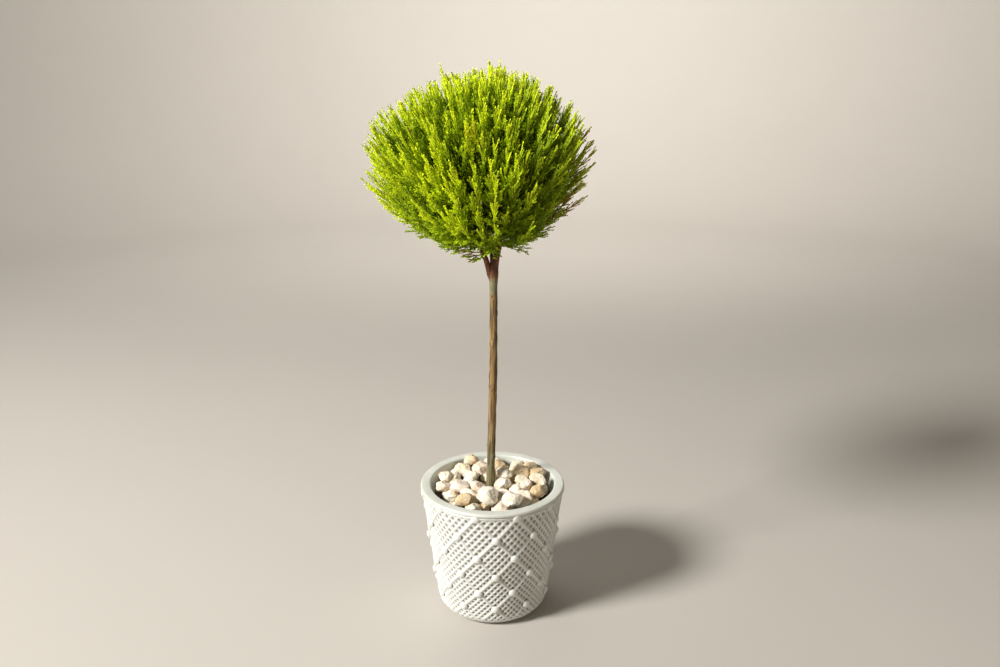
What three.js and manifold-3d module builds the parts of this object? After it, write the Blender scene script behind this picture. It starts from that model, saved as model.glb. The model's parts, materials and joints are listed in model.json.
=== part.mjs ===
// A ball-headed cypress standard: one thin bare stem under a clipped round crown, in an embossed
// ceramic pot topped with pebbles. Millimetres, +Z up, origin at the centre of the pot's flat underside.
import * as THREE from "three";
import { ConvexGeometry } from "three/addons/geometries/ConvexGeometry.js";
import { mergeVertices } from "three/addons/utils/BufferGeometryUtils.js";
import Module from "manifold-3d";

// Pot
const potHeight = 158;
const rimRadius = 85;
const rimWidth = 12;
const footRadius = 65; // where the straight wall would meet the ground
const footRounding = 18;
const potFloor = 11;
const floorSlope = 6; // the inner wall bends in over this height and width to the floor
const grooveHeight = 153; // thin groove under the rim
const grooveDepth = 1;

// Raised lattice on the pot: diagonal ribs, with a knob where two of them cross
const diamondsRound = 11;
const latticeTop = 150.5;
const latticeRows = 6;
const firstRow = 28.2; // height of the top half diamond, along the wall
const rowRatio = 0.94; // each row's height against the one above it
const latticeTurn = 3.3; // degrees from the front to the nearest knob of an odd row
const panelInset = 1; // the diamonds' sunk faces, inside the wall's outline
const ribRelief = 1.4;
const knobRelief = 2.6;
const latticeStops = [0, 0.08, 0.5, 0.92, 1]; // rib, panel, rib across one diamond

// Filling
const soilLevel = 138;
const pebbleCount = 52;
const pebbleLong = [21, 32];
const pebbleWidth = 0.86; // of its length
const pebbleThickness = 0.66;
const heapTop = 168;

// Trunk and boughs
const trunkRadius = 4.9;
const trunkFlare = 1.7;
const forkHeight = 415;
const limbClearance = 13; // no spray comes nearer to the bare limbs under the crown
const boughReach = 441;

// Crown
const crownMiddle = new THREE.Vector3(-16, 0, 546); // the widest level
const crownRadius = 121;
const crownRise = 82; // from the widest level to the top
const crownDrop = 123; // from the widest level to the lowest sprays
const crownSquareness = 1.8; // 2 is an ellipse, less is more pointed
const crownUnevenness = 0.03;
const coreShare = 0.7; // the dense inside, as a share of the outline
const lowCoreShare = 0.82;
const neckShare = 0.93; // the same straight under the crown, where the boughs come in
const sprayCount = 150;
const topBias = 1.25; // over 1 sets the sprays closer together on top
const sprayLength = 50;
const rootDepth = 0.06; // how deep a spray's root is sunk in the core, as a share of the outline
const furthestShare = 1.04; // no tooth ends further out than this share of the outline
const shootRadius = 2.2;
const toothSpacing = 15; // along a spray, from each pair of teeth to the next
const toothLength = [24, 17]; // from the spray's foot to its tip
const toothAngle = 30;
const toothTwist = 0.6; // radians from each pair to the next
const bareTip = 0.7; // length of a spray past its last pair, in spacings

const gap = 0.3; // between neighbouring solids
const sliver = 0.02; // faces thinner than this are smoothed away after a cut or a join

const wasm = await Module();
wasm.setup();

// Repeatable random numbers from 0 to 1.
function seededRandom(seed) {
  let state = seed;
  return () => {
    state = (state + 0x6d2b79f5) | 0;
    let t = Math.imul(state ^ (state >>> 15), 1 | state);
    t = (t + Math.imul(t ^ (t >>> 7), 61 | t)) ^ t;
    return ((t ^ (t >>> 14)) >>> 0) / 4294967296;
  };
}

const mix = (a, b, share) => a + (b - a) * share;

function smoothStep(from, to, value) {
  const t = Math.min(1, Math.max(0, (value - from) / (to - from)));
  return t * t * (3 - 2 * t);
}

// Closed solids and their joins

function toSolid(geometry) {
  const bare = geometry.clone();
  bare.deleteAttribute("normal");
  bare.deleteAttribute("uv");
  const merged = mergeVertices(bare, 1e-4);
  return new wasm.Manifold(
    new wasm.Mesh({
      numProp: 3,
      vertProperties: new Float32Array(merged.attributes.position.array),
      triVerts: new Uint32Array(merged.index.array),
    }),
  );
}

// The largest body of a solid, without slivers, loose scraps or sealed hollows.
function toGeometry(solid) {
  const bodies = solid.simplify(sliver).decompose();
  bodies.sort((a, b) => b.volume() - a.volume());
  const mesh = bodies[0].getMesh();
  const geometry = new THREE.BufferGeometry();
  const positions = new THREE.BufferAttribute(
    new Float32Array(mesh.vertProperties),
    3,
  );
  geometry.setAttribute("position", positions);
  geometry.setIndex(new THREE.BufferAttribute(new Uint32Array(mesh.triVerts), 1));
  geometry.computeVertexNormals();
  return geometry;
}

// Faces between neighbouring rings of points, anticlockwise seen from the last ring.
// A ring of one point closes an end.
function loftFaces(rings) {
  const faces = [];
  for (let k = 0; k + 1 < rings.length; k++) {
    const [low, high] = [rings[k], rings[k + 1]];
    const count = Math.max(low.length, high.length);
    for (let i = 0; i < count; i++) {
      const j = (i + 1) % count;
      if (low.length > 1) faces.push([low[i], low[j], high[j % high.length]]);
      if (high.length > 1) faces.push([low[i % low.length], high[j], high[i]]);
    }
  }
  return faces;
}

function facesGeometry(faces) {
  const positions = faces.flat().flatMap((point) => point.toArray());
  const geometry = new THREE.BufferGeometry();
  geometry.setAttribute(
    "position",
    new THREE.Float32BufferAttribute(positions, 3),
  );
  return mergeVertices(geometry, 1e-4);
}

// Pot

const wallTaper = (rimRadius - footRadius) / potHeight;
const wallLean = Math.atan(wallTaper);
const roundingCentre = new THREE.Vector2(
  footRadius + wallTaper * footRounding - footRounding / Math.cos(wallLean),
  footRounding,
);
const straightEnd = footRounding * (1 - Math.sin(wallLean));
const straightLength = (latticeTop - straightEnd) / Math.cos(wallLean);

const wallRadius = (z) => footRadius + wallTaper * z;
const innerRadius = (z) => wallRadius(z) - rimWidth;

// Point of the wall's outline at a way down from the lattice's top, moved out by the relief.
function wallPoint(down, relief) {
  if (down <= straightLength) {
    const z = latticeTop - down * Math.cos(wallLean);
    return new THREE.Vector2(
      wallRadius(z) + relief * Math.cos(wallLean),
      z - relief * Math.sin(wallLean),
    );
  }
  const turn = wallLean + (down - straightLength) / footRounding;
  return new THREE.Vector2(
    roundingCentre.x + (footRounding + relief) * Math.cos(turn),
    roundingCentre.y - (footRounding + relief) * Math.sin(turn),
  );
}

// Way down the wall at a row of the lattice, whole rows being rows of knobs.
const rowDown = (row) =>
  (firstRow * (1 - Math.pow(rowRatio, row))) / (1 - rowRatio);

function turnedPoint(radius, z, column) {
  const degrees = latticeTurn + (column - 1) * (180 / diamondsRound);
  const angle = THREE.MathUtils.degToRad(degrees);
  return new THREE.Vector3(
    radius * Math.sin(angle),
    -radius * Math.cos(angle),
    z,
  );
}

function latticePoint(column, row, relief) {
  const { x, y } = wallPoint(rowDown(row), relief - panelInset);
  return turnedPoint(x, y, column);
}

// One diamond between four knobs, by its left and right diagonals from the knob at its top.
// The half that would pass the lattice's top or bottom row is left off.
function diamondFaces(topColumn, topRow) {
  const last = latticeStops.length - 1;
  const onEdge = (i) => i === 0 || i === last;
  const point = (i, j) => {
    const [a, b] = [latticeStops[i], latticeStops[j]];
    const crossing = onEdge(i) && onEdge(j);
    const relief = crossing ? knobRelief : onEdge(i) || onEdge(j) ? ribRelief : 0;
    return latticePoint(topColumn + a - b, topRow + a + b, relief);
  };
  const faces = [];
  for (let i = 0; i < last; i++) {
    for (let j = 0; j < last; j++) {
      const upper = [point(i, j), point(i, j + 1), point(i + 1, j)];
      const lower = [point(i + 1, j), point(i, j + 1), point(i + 1, j + 1)];
      const beyondTop = topRow < 0 && i + j < last - 1;
      const beyondFoot = topRow + 2 > latticeRows && i + j > last - 1;
      const onMiddle = i + j === last - 1;
      if (!beyondTop && !beyondFoot && !(onMiddle && topRow < 0))
        faces.push(upper);
      if (!beyondTop && !beyondFoot && !(onMiddle && topRow + 2 > latticeRows))
        faces.push(lower);
    }
  }
  return faces;
}

// A ring round the pot with its points on the lattice's columns.
function potRing(radiusAndHeight) {
  const ring = [];
  for (let diamond = 0; diamond < diamondsRound; diamond++)
    for (const stop of latticeStops.slice(0, -1))
      ring.push(
        turnedPoint(...radiusAndHeight, 2 * diamond + 2 * stop),
      );
  return ring;
}

// The lattice's end row as a ring: its ribs cross there, so it stands out at the knobs only.
function latticeEndRing(row) {
  const ring = [];
  for (let diamond = 0; diamond < diamondsRound; diamond++)
    for (const stop of latticeStops.slice(0, -1))
      ring.push(
        latticePoint(2 * diamond + 2 * stop, row, stop === 0 ? knobRelief : 0),
      );
  return ring;
}

function potGeometry() {
  const lipRounding = 2.2;
  const lip = (centreRadius, turn) => [
    centreRadius + lipRounding * Math.cos(turn),
    potHeight - lipRounding + lipRounding * Math.sin(turn),
  ];
  const outerLip = rimRadius - lipRounding;
  const innerLip = rimRadius - rimWidth + lipRounding;
  const footEnd = straightLength + (Math.PI / 2 - wallLean) * footRounding;
  const footSteps = [footEnd, mix(rowDown(latticeRows), footEnd, 0.5)];
  const below = [
    [new THREE.Vector3(0, 0, 0)],
    ...footSteps.map((down) => potRing(wallPoint(down, 0).toArray())),
    latticeEndRing(latticeRows),
  ];
  const grooveRadius = wallRadius(grooveHeight) - grooveDepth;
  const above = [
    latticeEndRing(0),
    potRing([wallRadius(grooveHeight) - 0.2, grooveHeight - 1]),
    potRing([grooveRadius, grooveHeight - 0.5]),
    potRing([grooveRadius, grooveHeight + 0.5]),
    potRing([rimRadius - 0.4, grooveHeight + 1]),
    ...[0, 0.25, 0.5].map((turn) => potRing(lip(outerLip, turn * Math.PI))),
    ...[0.5, 0.75, 1].map((turn) => potRing(lip(innerLip, turn * Math.PI))),
    potRing([innerRadius(potFloor + floorSlope), potFloor + floorSlope]),
    potRing([innerRadius(potFloor) - floorSlope, potFloor]),
    [new THREE.Vector3(0, 0, potFloor)],
  ];
  const faces = [...loftFaces(below), ...loftFaces(above)];
  for (let row = -1; row < latticeRows; row++)
    for (let diamond = 0; diamond < diamondsRound; diamond++)
      faces.push(...diamondFaces(2 * diamond + (row & 1), row));
  return facesGeometry(faces);
}

// Soil: fills the pot up to the level where the trunk stands.
function soilGeometry() {
  const clear = 2 * gap; // the pot's inside is a polygon, a little inside its circle
  const bottom = potFloor + gap;
  const bend = potFloor + floorSlope;
  const points = [
    new THREE.Vector2(0, bottom),
    new THREE.Vector2(innerRadius(bottom) - floorSlope - clear, bottom),
    new THREE.Vector2(innerRadius(bend) - clear, bend + clear),
    new THREE.Vector2(innerRadius(soilLevel) - clear, soilLevel),
    new THREE.Vector2(0, soilLevel),
  ];
  return new THREE.LatheGeometry(points, 40).rotateX(Math.PI / 2);
}

// Trunk: nearly upright, with a slight S, a flare at its foot and a swelling under the fork.
const trunkLine = new THREE.CatmullRomCurve3([
  new THREE.Vector3(-2.8, 3, soilLevel + gap),
  new THREE.Vector3(-1.6, 2.5, 190),
  new THREE.Vector3(1.2, 1, 290),
  new THREE.Vector3(1.8, 0, forkHeight),
]);

function trunkRadiusAt(z) {
  const flare = trunkFlare * Math.exp(-(z - soilLevel) / 14);
  const taper = mix(0.25, -0.35, (z - soilLevel) / (forkHeight - soilLevel));
  const swelling = 0.9 * smoothStep(forkHeight - 26, forkHeight, z);
  return trunkRadius + flare + taper + swelling;
}

function flatRing(centre, radius, sides) {
  return Array.from({ length: sides }, (_, i) => {
    const angle = (2 * Math.PI * i) / sides;
    return new THREE.Vector3(
      centre.x + radius * Math.cos(angle),
      centre.y + radius * Math.sin(angle),
      centre.z,
    );
  });
}

function trunkGeometry(grow) {
  const steps = 17;
  const sides = 12;
  const crowding = 1.25; // over 1 sets the rings closer together at the flared foot
  const centres = Array.from({ length: steps + 1 }, (_, i) =>
    trunkLine.getPointAt(Math.pow(i / steps, crowding)),
  );
  centres[0].z -= grow;
  centres[steps].z += grow;
  const rings = centres.map((centre) =>
    flatRing(centre, trunkRadiusAt(centre.z) + grow, sides),
  );
  return facesGeometry(
    loftFaces([[centres[0]], ...rings, [centres[steps]]]),
  );
}

// A closed tapering limb along a curve, square cut at both ends.
function limbGeometry(curve, radiusAt, sides, steps, endLength) {
  const frames = curve.computeFrenetFrames(steps, false);
  const rings = [];
  for (let i = 0; i <= steps; i++) {
    const centre = curve.getPointAt(i / steps);
    if (i === steps) centre.addScaledVector(frames.tangents[i], endLength);
    const radius = radiusAt(i / steps);
    rings.push(
      Array.from({ length: sides }, (_, k) => {
        const angle = (2 * Math.PI * k) / sides;
        return centre
          .clone()
          .addScaledVector(frames.normals[i], radius * Math.cos(angle))
          .addScaledVector(frames.binormals[i], radius * Math.sin(angle));
      }),
    );
  }
  const middle = (ring) =>
    ring
      .reduce((sum, point) => sum.add(point), new THREE.Vector3())
      .divideScalar(ring.length);
  return facesGeometry(
    loftFaces([[middle(rings[0])], ...rings, [middle(rings[steps])]]),
  );
}

// Boughs: the right one carries on from the trunk's top, the others leave its side under the fork.
const boughs = [
  { name: "bough_right", from: [1.9, 0, forkHeight + gap], to: [7.5, 1], bow: 1, thick: 4.6, thin: 3.6 },
  { name: "bough_left", from: [0, 0, forkHeight - 10], to: [-12.5, -2], bow: 3, thick: 3.4, thin: 2.6 },
  { name: "bough_back", from: [2, 1, forkHeight - 8], to: [-1, 12], bow: 3, thick: 2.8, thin: 2.2 },
];

// The bough's curve starts along the trunk and turns out to its end.
function boughCurve({ from, to, bow }) {
  const start = new THREE.Vector3(...from);
  const end = new THREE.Vector3(...to, boughReach);
  const middle = start.clone().lerp(end, 0.5);
  middle.z -= bow;
  return new THREE.QuadraticBezierCurve3(start, middle, end);
}

function boughGeometry(bough, grow) {
  const radiusAt = (share) => mix(bough.thick, bough.thin, share) + grow;
  return limbGeometry(boughCurve(bough), radiusAt, 10, 6, grow);
}

// The side boughs are cut clear of the trunk and of the bough that carries on from it.
function boughSolids() {
  const trunkCut = toSolid(trunkGeometry(gap));
  const leaderCut = toSolid(boughGeometry(boughs[0], gap));
  return boughs.map((bough, i) => {
    const whole = toSolid(boughGeometry(bough, 0)).subtract(trunkCut);
    return i === 0 ? whole : whole.subtract(leaderCut);
  });
}

// Crown outline: how far it lies from the crown's middle in a direction, with its bow to the left.
function outlinePoint(direction, share) {
  const level = Math.hypot(direction.x, direction.y);
  const n = crownSquareness;
  const reach = Math.pow(
    Math.pow(level, n) + Math.pow(Math.abs(direction.z), n),
    -1 / n,
  );
  const height = direction.z > 0 ? crownRise : crownDrop;
  const wave =
    Math.sin(3 * direction.x + 5 * direction.z) *
    Math.cos(4 * direction.y + 2 * direction.z);
  const size = share * reach * (1 + crownUnevenness * wave);
  const rise = size * direction.z;
  return new THREE.Vector3(
    crownMiddle.x * (1 - rise * rise) + size * crownRadius * direction.x,
    crownMiddle.y + size * crownRadius * direction.y,
    crownMiddle.z + height * rise,
  );
}

// A point's distance from the crown's middle as a share of the outline, and its direction there.
function shareOfOutline(point) {
  const rise = point.z - crownMiddle.z;
  const z = rise / (rise > 0 ? crownRise : crownDrop);
  const x = (point.x - crownMiddle.x * (1 - z * z)) / crownRadius;
  const y = (point.y - crownMiddle.y) / crownRadius;
  const direction = new THREE.Vector3(x, y, z);
  const n = crownSquareness;
  const share = Math.pow(
    Math.pow(Math.hypot(x, y), n) + Math.pow(Math.abs(z), n),
    1 / n,
  );
  return { share, direction: direction.normalize() };
}

// The core is fuller low down, where the shoots run close together, and narrows to its neck.
function coreShareAt(direction) {
  const fuller = mix(coreShare, lowCoreShare, smoothStep(0.1, 0.6, -direction.z));
  return mix(fuller, neckShare, smoothStep(0.9, 0.99, -direction.z));
}

function coreGeometry() {
  const ball = new THREE.IcosahedronGeometry(1, 5);
  const places = ball.attributes.position;
  const direction = new THREE.Vector3();
  for (let i = 0; i < places.count; i++) {
    direction.fromBufferAttribute(places, i).normalize();
    const point = outlinePoint(direction, coreShareAt(direction));
    places.setXYZ(i, point.x, point.y, point.z);
  }
  return ball;
}

// Shoots: each points away from a place over the fork and ends on the outline, evenly spread.
const shootSource = new THREE.Vector3(0, 0, forkHeight + 20);

function spreadDirection(i, random) {
  const goldenTurn = Math.PI * (3 - Math.sqrt(5));
  const down = Math.pow((i + 0.5) / sprayCount, topBias);
  const z = 1 - 2 * down + 0.05 * (random() - 0.5);
  const height = Math.max(-1, Math.min(1, z));
  const level = Math.sqrt(1 - height * height);
  const angle = goldenTurn * i + 0.3 * (random() - 0.5);
  return new THREE.Vector3(
    level * Math.cos(angle),
    level * Math.sin(angle),
    height,
  );
}

// The outer stretch of a shoot, from a root sunk in the core to its tip, sagging a little.
function sprayCurve(tip, sag) {
  const back = shootSource.clone().sub(tip);
  const inner = tip
    .clone()
    .addScaledVector(back, Math.min(1, sprayLength / back.length()));
  const { share, direction } = shareOfOutline(inner);
  const deepest = coreShareAt(direction) - rootDepth;
  const root = outlinePoint(direction, Math.min(share, deepest));
  const middle = root.clone().lerp(tip, 0.5);
  middle.z -= sag;
  return new THREE.QuadraticBezierCurve3(root, middle, tip);
}

function nearLimb(point) {
  const trunkTop = trunkLine.getPointAt(1);
  const away = Math.hypot(point.x - trunkTop.x, point.y - trunkTop.y);
  return away < limbClearance && point.z < boughReach;
}

// One spray: a thin four-sided shoot with pairs of teeth, each pair turned on from the last.
function sprayFaces(curve, random) {
  const pairs = Math.max(2, Math.round(curve.getLength() / toothSpacing));
  const firstTurn = Math.PI * random();
  const stations = [];
  for (let k = 0; k <= pairs; k++) {
    const along = k / (pairs + bareTip);
    const tangent = curve.getTangentAt(along);
    const side = new THREE.Vector3(0, 0, 1).cross(tangent);
    if (side.length() < 0.2) side.set(1, 0, 0).cross(tangent);
    side.normalize().applyAxisAngle(tangent, firstTurn + toothTwist * k);
    const upright = tangent.clone().cross(side);
    const radius = mix(shootRadius, 0.5 * shootRadius, k / pairs);
    const centre = curve.getPointAt(along);
    const ring = [side, upright, side.clone().negate(), upright.clone().negate()];
    stations.push({
      centre,
      tangent,
      side,
      ring: ring.map((way) => centre.clone().addScaledVector(way, radius)),
    });
  }
  const tooth = ({ centre, tangent, side }, sign, reach) => {
    const angle = THREE.MathUtils.degToRad(toothAngle * mix(0.85, 1.15, random()));
    const end = centre
      .clone()
      .addScaledVector(tangent, reach * Math.cos(angle))
      .addScaledVector(side, sign * reach * Math.sin(angle));
    while (shareOfOutline(end).share > furthestShare) end.lerp(centre, 0.15);
    return end;
  };
  const faces = [];
  for (let k = 0; k < pairs; k++) {
    const [low, high] = [stations[k], stations[k + 1]];
    const share = k / (pairs - 1);
    for (const [sign, edge] of [[1, 0], [-1, 2]]) {
      const reach = mix(...toothLength, share) * mix(0.85, 1.1, random());
      const end = tooth(low, sign, reach);
      const before = (edge + 3) % 4;
      const after = (edge + 1) % 4;
      const around = [
        low.ring[before],
        low.ring[edge],
        low.ring[after],
        high.ring[after],
        high.ring[edge],
        high.ring[before],
      ];
      around.forEach((point, i) =>
        faces.push([point, around[(i + 1) % around.length], end]),
      );
    }
  }
  const first = stations[0].ring;
  const last = stations[pairs].ring;
  faces.push([first[2], first[1], first[0]], [first[3], first[2], first[0]]);
  for (let i = 0; i < 4; i++)
    faces.push([last[i], last[(i + 1) % 4], curve.getPointAt(1)]);
  return faces;
}

function spraySolids(tip, random) {
  const faces = sprayFaces(sprayCurve(tip, mix(1, 5, random())), random);
  return faces.flat().some(nearLimb) ? [] : [toSolid(facesGeometry(faces))];
}

function crownSolid(boughPieces) {
  const random = seededRandom(20);
  const parts = [toSolid(coreGeometry())];
  for (let i = 0; i < sprayCount; i++) {
    const direction = spreadDirection(i, random);
    const tip = outlinePoint(direction, mix(0.94, 1.03, random()));
    parts.push(...spraySolids(tip, random));
  }
  return boughPieces.reduce(
    (crown, bough) => crown.subtract(toSolid(boughGeometry(bough, gap))),
    wasm.Manifold.union(parts),
  );
}

// Pebbles: angular chips that fall one by one, each to the lowest of a few places tried.

// A chip is the hull of points spread evenly over an ellipsoid, pushed in or out a little.
function chipPoints(random) {
  const long = mix(...pebbleLong, Math.pow(random(), 1.4));
  const half = new THREE.Vector3(
    long / 2,
    (long / 2) * pebbleWidth * mix(0.85, 1.15, random()),
    (long / 2) * pebbleThickness * mix(0.85, 1.2, random()),
  );
  const tilt = new THREE.Euler(
    mix(-0.45, 0.45, random()),
    mix(-0.45, 0.45, random()),
    2 * Math.PI * random(),
    "ZYX",
  );
  const corners = 15;
  const goldenTurn = Math.PI * (3 - Math.sqrt(5));
  return Array.from({ length: corners }, (_, i) => {
    const z = 1 - (2 * i + 1) / corners;
    const level = Math.sqrt(1 - z * z);
    const angle = goldenTurn * i + 0.7 * random();
    const size = mix(0.86, 1.06, random());
    return new THREE.Vector3(level * Math.cos(angle), level * Math.sin(angle), z)
      .multiply(half)
      .multiplyScalar(size)
      .applyEuler(tilt);
  });
}

function hullPlanes(geometry) {
  const places = geometry.attributes.position;
  const planes = [];
  for (let i = 0; i < places.count; i += 3) {
    const corners = [0, 1, 2].map((k) =>
      new THREE.Vector3().fromBufferAttribute(places, i + k),
    );
    planes.push(new THREE.Plane().setFromCoplanarPoints(...corners));
  }
  return planes;
}

// Lowest and highest point of a convex hull on the upright line through x and y, or null beside it.
function hullSpan(planes, x, y) {
  let [low, high] = [-Infinity, Infinity];
  for (const { normal, constant } of planes) {
    const rest = -(constant + normal.x * x + normal.y * y);
    if (Math.abs(normal.z) < 1e-6) {
      if (rest < 0) return null;
    } else if (normal.z > 0) high = Math.min(high, rest / normal.z);
    else low = Math.max(low, rest / normal.z);
  }
  return low < high ? [low, high] : null;
}

// Heights of the heap on a square grid over the pot's mouth.
const cell = 0.5;
const blockedHeight = 1000; // no chip can rest on the trunk's foot
const cellsAcross = Math.ceil((2 * rimRadius) / cell);
const cellOf = (value) => Math.round((value + rimRadius) / cell);

function emptyHeap() {
  const heap = new Float32Array(cellsAcross * cellsAcross).fill(soilLevel);
  const foot = trunkLine.getPointAt(0);
  const reach = trunkRadius + trunkFlare + 1;
  for (let row = 0; row < cellsAcross; row++)
    for (let column = 0; column < cellsAcross; column++) {
      const x = column * cell - rimRadius;
      const y = row * cell - rimRadius;
      const blocked = Math.hypot(x - foot.x, y - foot.y) < reach;
      if (blocked) heap[row * cellsAcross + column] = blockedHeight;
    }
  return heap;
}

// The chip's own span over each grid cell under it.
function chipCells(geometry) {
  const planes = hullPlanes(geometry);
  geometry.computeBoundingBox();
  const { min, max } = geometry.boundingBox;
  const cells = [];
  for (let column = Math.floor(min.x / cell); column <= max.x / cell; column++)
    for (let row = Math.floor(min.y / cell); row <= max.y / cell; row++) {
      const span = hullSpan(planes, column * cell, row * cell);
      if (span) cells.push({ column, row, low: span[0], high: span[1] });
    }
  return cells;
}

function restHeight(heap, cells, x, y) {
  let rest = 0;
  for (const { column, row, low } of cells)
    rest = Math.max(
      rest,
      heap[(cellOf(y) + row) * cellsAcross + cellOf(x) + column] - low,
    );
  return rest + gap;
}

// The heap takes the chip's top, one cell wider all round, so that neighbours stay clear of it.
function addToHeap(heap, cells, x, y, z) {
  for (const { column, row, high } of cells)
    for (const [dx, dy] of [[0, 0], [1, 0], [-1, 0], [0, 1], [0, -1]]) {
      const i = (cellOf(y) + row + dy) * cellsAcross + cellOf(x) + column + dx;
      heap[i] = Math.max(heap[i], z + high);
    }
}

function pebbleGeometries() {
  const random = seededRandom(7);
  const heap = emptyHeap();
  const triesPerPebble = 500;
  const pebbles = [];
  while (pebbles.length < pebbleCount) {
    const chip = new ConvexGeometry(chipPoints(random));
    const cells = chipCells(chip);
    chip.computeBoundingSphere();
    const widest = Math.max(
      ...cells.map(({ column, row }) => Math.hypot(column, row) * cell),
    );
    const room = innerRadius(soilLevel) - 2 * gap - 0.5 - widest;
    let best = null;
    for (let attempt = 0; attempt < triesPerPebble; attempt++) {
      const angle = 2 * Math.PI * random();
      const out = room * Math.sqrt(random());
      const x = cell * Math.round((out * Math.cos(angle)) / cell);
      const y = cell * Math.round((out * Math.sin(angle)) / cell);
      const z = restHeight(heap, cells, x, y);
      if (!best || z < best.z) best = { x, y, z };
    }
    if (best.z + chip.boundingBox.max.z > heapTop) continue;
    addToHeap(heap, cells, best.x, best.y, best.z);
    pebbles.push(chip.translate(best.x, best.y, best.z));
  }
  return pebbles;
}

// The whole plant

const glaze = { color: 0xe9e8e0, roughness: 0.45, metalness: 0 };
const earth = { color: 0x3a2c20, roughness: 1, metalness: 0 };
const bark = { color: 0x8a7658, roughness: 0.9, metalness: 0 };
const youngBark = { color: 0x6b4630, roughness: 0.85, metalness: 0 };
const foliage = { color: 0x9aae1c, roughness: 0.7, metalness: 0 };
const pebbleColours = [0xf2eee2, 0xe9dcc0, 0xe8cdb8, 0xd9bd90];

const plant = new THREE.Group();

function addPiece(name, geometry, finish) {
  const mesh = new THREE.Mesh(geometry, new THREE.MeshStandardMaterial(finish));
  mesh.name = name;
  plant.add(mesh);
}

addPiece("pot", potGeometry(), glaze);
addPiece("potting_soil", soilGeometry(), earth);
addPiece("trunk", trunkGeometry(0), bark);
boughSolids().forEach((solid, i) =>
  addPiece(boughs[i].name, toGeometry(solid), youngBark),
);
addPiece("crown_foliage", toGeometry(crownSolid(boughs)), foliage);
pebbleGeometries().forEach((geometry, i) =>
  addPiece("pebble_" + String(i + 1).padStart(2, "0"), geometry, {
    color: pebbleColours[i % pebbleColours.length],
    roughness: 0.8,
    metalness: 0,
  }),
);

export default plant;
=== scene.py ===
"""The looks of a ball-headed cypress standard in an embossed pot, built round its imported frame."""

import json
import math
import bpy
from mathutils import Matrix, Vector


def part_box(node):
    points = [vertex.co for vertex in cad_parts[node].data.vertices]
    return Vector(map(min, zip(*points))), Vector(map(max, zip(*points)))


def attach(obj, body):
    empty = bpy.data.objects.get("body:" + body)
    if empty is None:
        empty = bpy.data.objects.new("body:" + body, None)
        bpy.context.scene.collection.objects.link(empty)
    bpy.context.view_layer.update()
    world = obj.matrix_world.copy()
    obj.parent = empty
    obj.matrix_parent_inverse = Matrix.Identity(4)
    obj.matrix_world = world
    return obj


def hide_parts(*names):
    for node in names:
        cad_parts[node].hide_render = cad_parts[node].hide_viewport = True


bl_info = {
    "name": "Potted cypress standard",
    "version": (1, 0, 0),
    "blender": (4, 5, 0),
    "location": "3D View > Sidebar > Cypress standard",
    "description": "Makes the pot, pebbles, stem and clipped crown of a small cypress standard",
    "category": "Object",
}

import bmesh
import bpy
import numpy as np
from bpy.props import FloatProperty, FloatVectorProperty, IntProperty, PointerProperty
from mathutils import Vector, noise

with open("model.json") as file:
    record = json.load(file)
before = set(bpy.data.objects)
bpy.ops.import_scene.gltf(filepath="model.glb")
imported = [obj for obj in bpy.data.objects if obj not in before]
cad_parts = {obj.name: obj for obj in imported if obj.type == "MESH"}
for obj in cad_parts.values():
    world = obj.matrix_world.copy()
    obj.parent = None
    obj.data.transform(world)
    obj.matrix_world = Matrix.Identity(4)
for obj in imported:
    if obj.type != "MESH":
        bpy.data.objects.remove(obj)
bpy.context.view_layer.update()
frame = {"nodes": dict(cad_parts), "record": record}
whole_body = "root"
mm = 0.001

# Pot wall and the lattice's grid, as the part's source has them
pot_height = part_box("pot")[1].z
rim_radius = 85 * mm
rim_width = 12 * mm
foot_radius = 65 * mm  # where the straight wall would meet the ground
foot_rounding = 18 * mm
pot_floor = 11 * mm
floor_slope = 6 * mm  # the inner wall bends in over this height and width to the floor
groove_height = 153 * mm  # the thin groove under the rim
groove_depth = 1 * mm
lip_rounding = 2.2 * mm
diamonds_round = 11
lattice_top = 150.5 * mm
lattice_rows = 6
first_row = 28.2 * mm  # height of the top half diamond, along the wall
row_ratio = 0.94  # each row's height against the one above it
lattice_turn = 3.3  # degrees from the front to the nearest knob of an odd row

# Relief of the lattice, finer than the source's
panel_inset = 0.5 * mm  # the diamonds' sunk faces, inside the wall's outline
rib_share = 0.038  # half a rib's width against a diamond's side
pit_steps = 6  # steps of the mesh over one pit
pot_sides = 24 * diamonds_round
open_middle = 0.5 * mm  # radius left open in the middle of a turned shape

# Limbs, with the boughs' middle lines and radii in millimetres
soil_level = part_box("potting_soil")[1].z
fork_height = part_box("trunk")[1].z
boughs = {
    "bough_right": {
        "line": [(1.0, 0, 400), (1.6, 0, 418), (7.5, 1, 441)], "thick": 4.9, "thin": 3.6},
    "bough_left": {
        "line": [(-0.4, 0, 401), (-1.6, 0, 418), (-12.5, -2, 441)], "thick": 3.7, "thin": 2.6},
    "bough_back": {
        "line": [(1.0, 1.0, 398), (1.4, 3.0, 414), (-1, 12, 441)], "thick": 3.0, "thin": 2.2},
}

# Bare space round the limbs, wider further down
bare_middle = -2 * mm
bare_top = 445 * mm
limb_clearance = 13 * mm
clearance_slope = 0.5  # how much wider for each step down

# The long crack low on the stem
crack_low = 176 * mm
crack_high = 209 * mm
crack_turn = math.radians(-118)
crack_width = 0.8 * mm
crack_depth = 0.9 * mm

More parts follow.
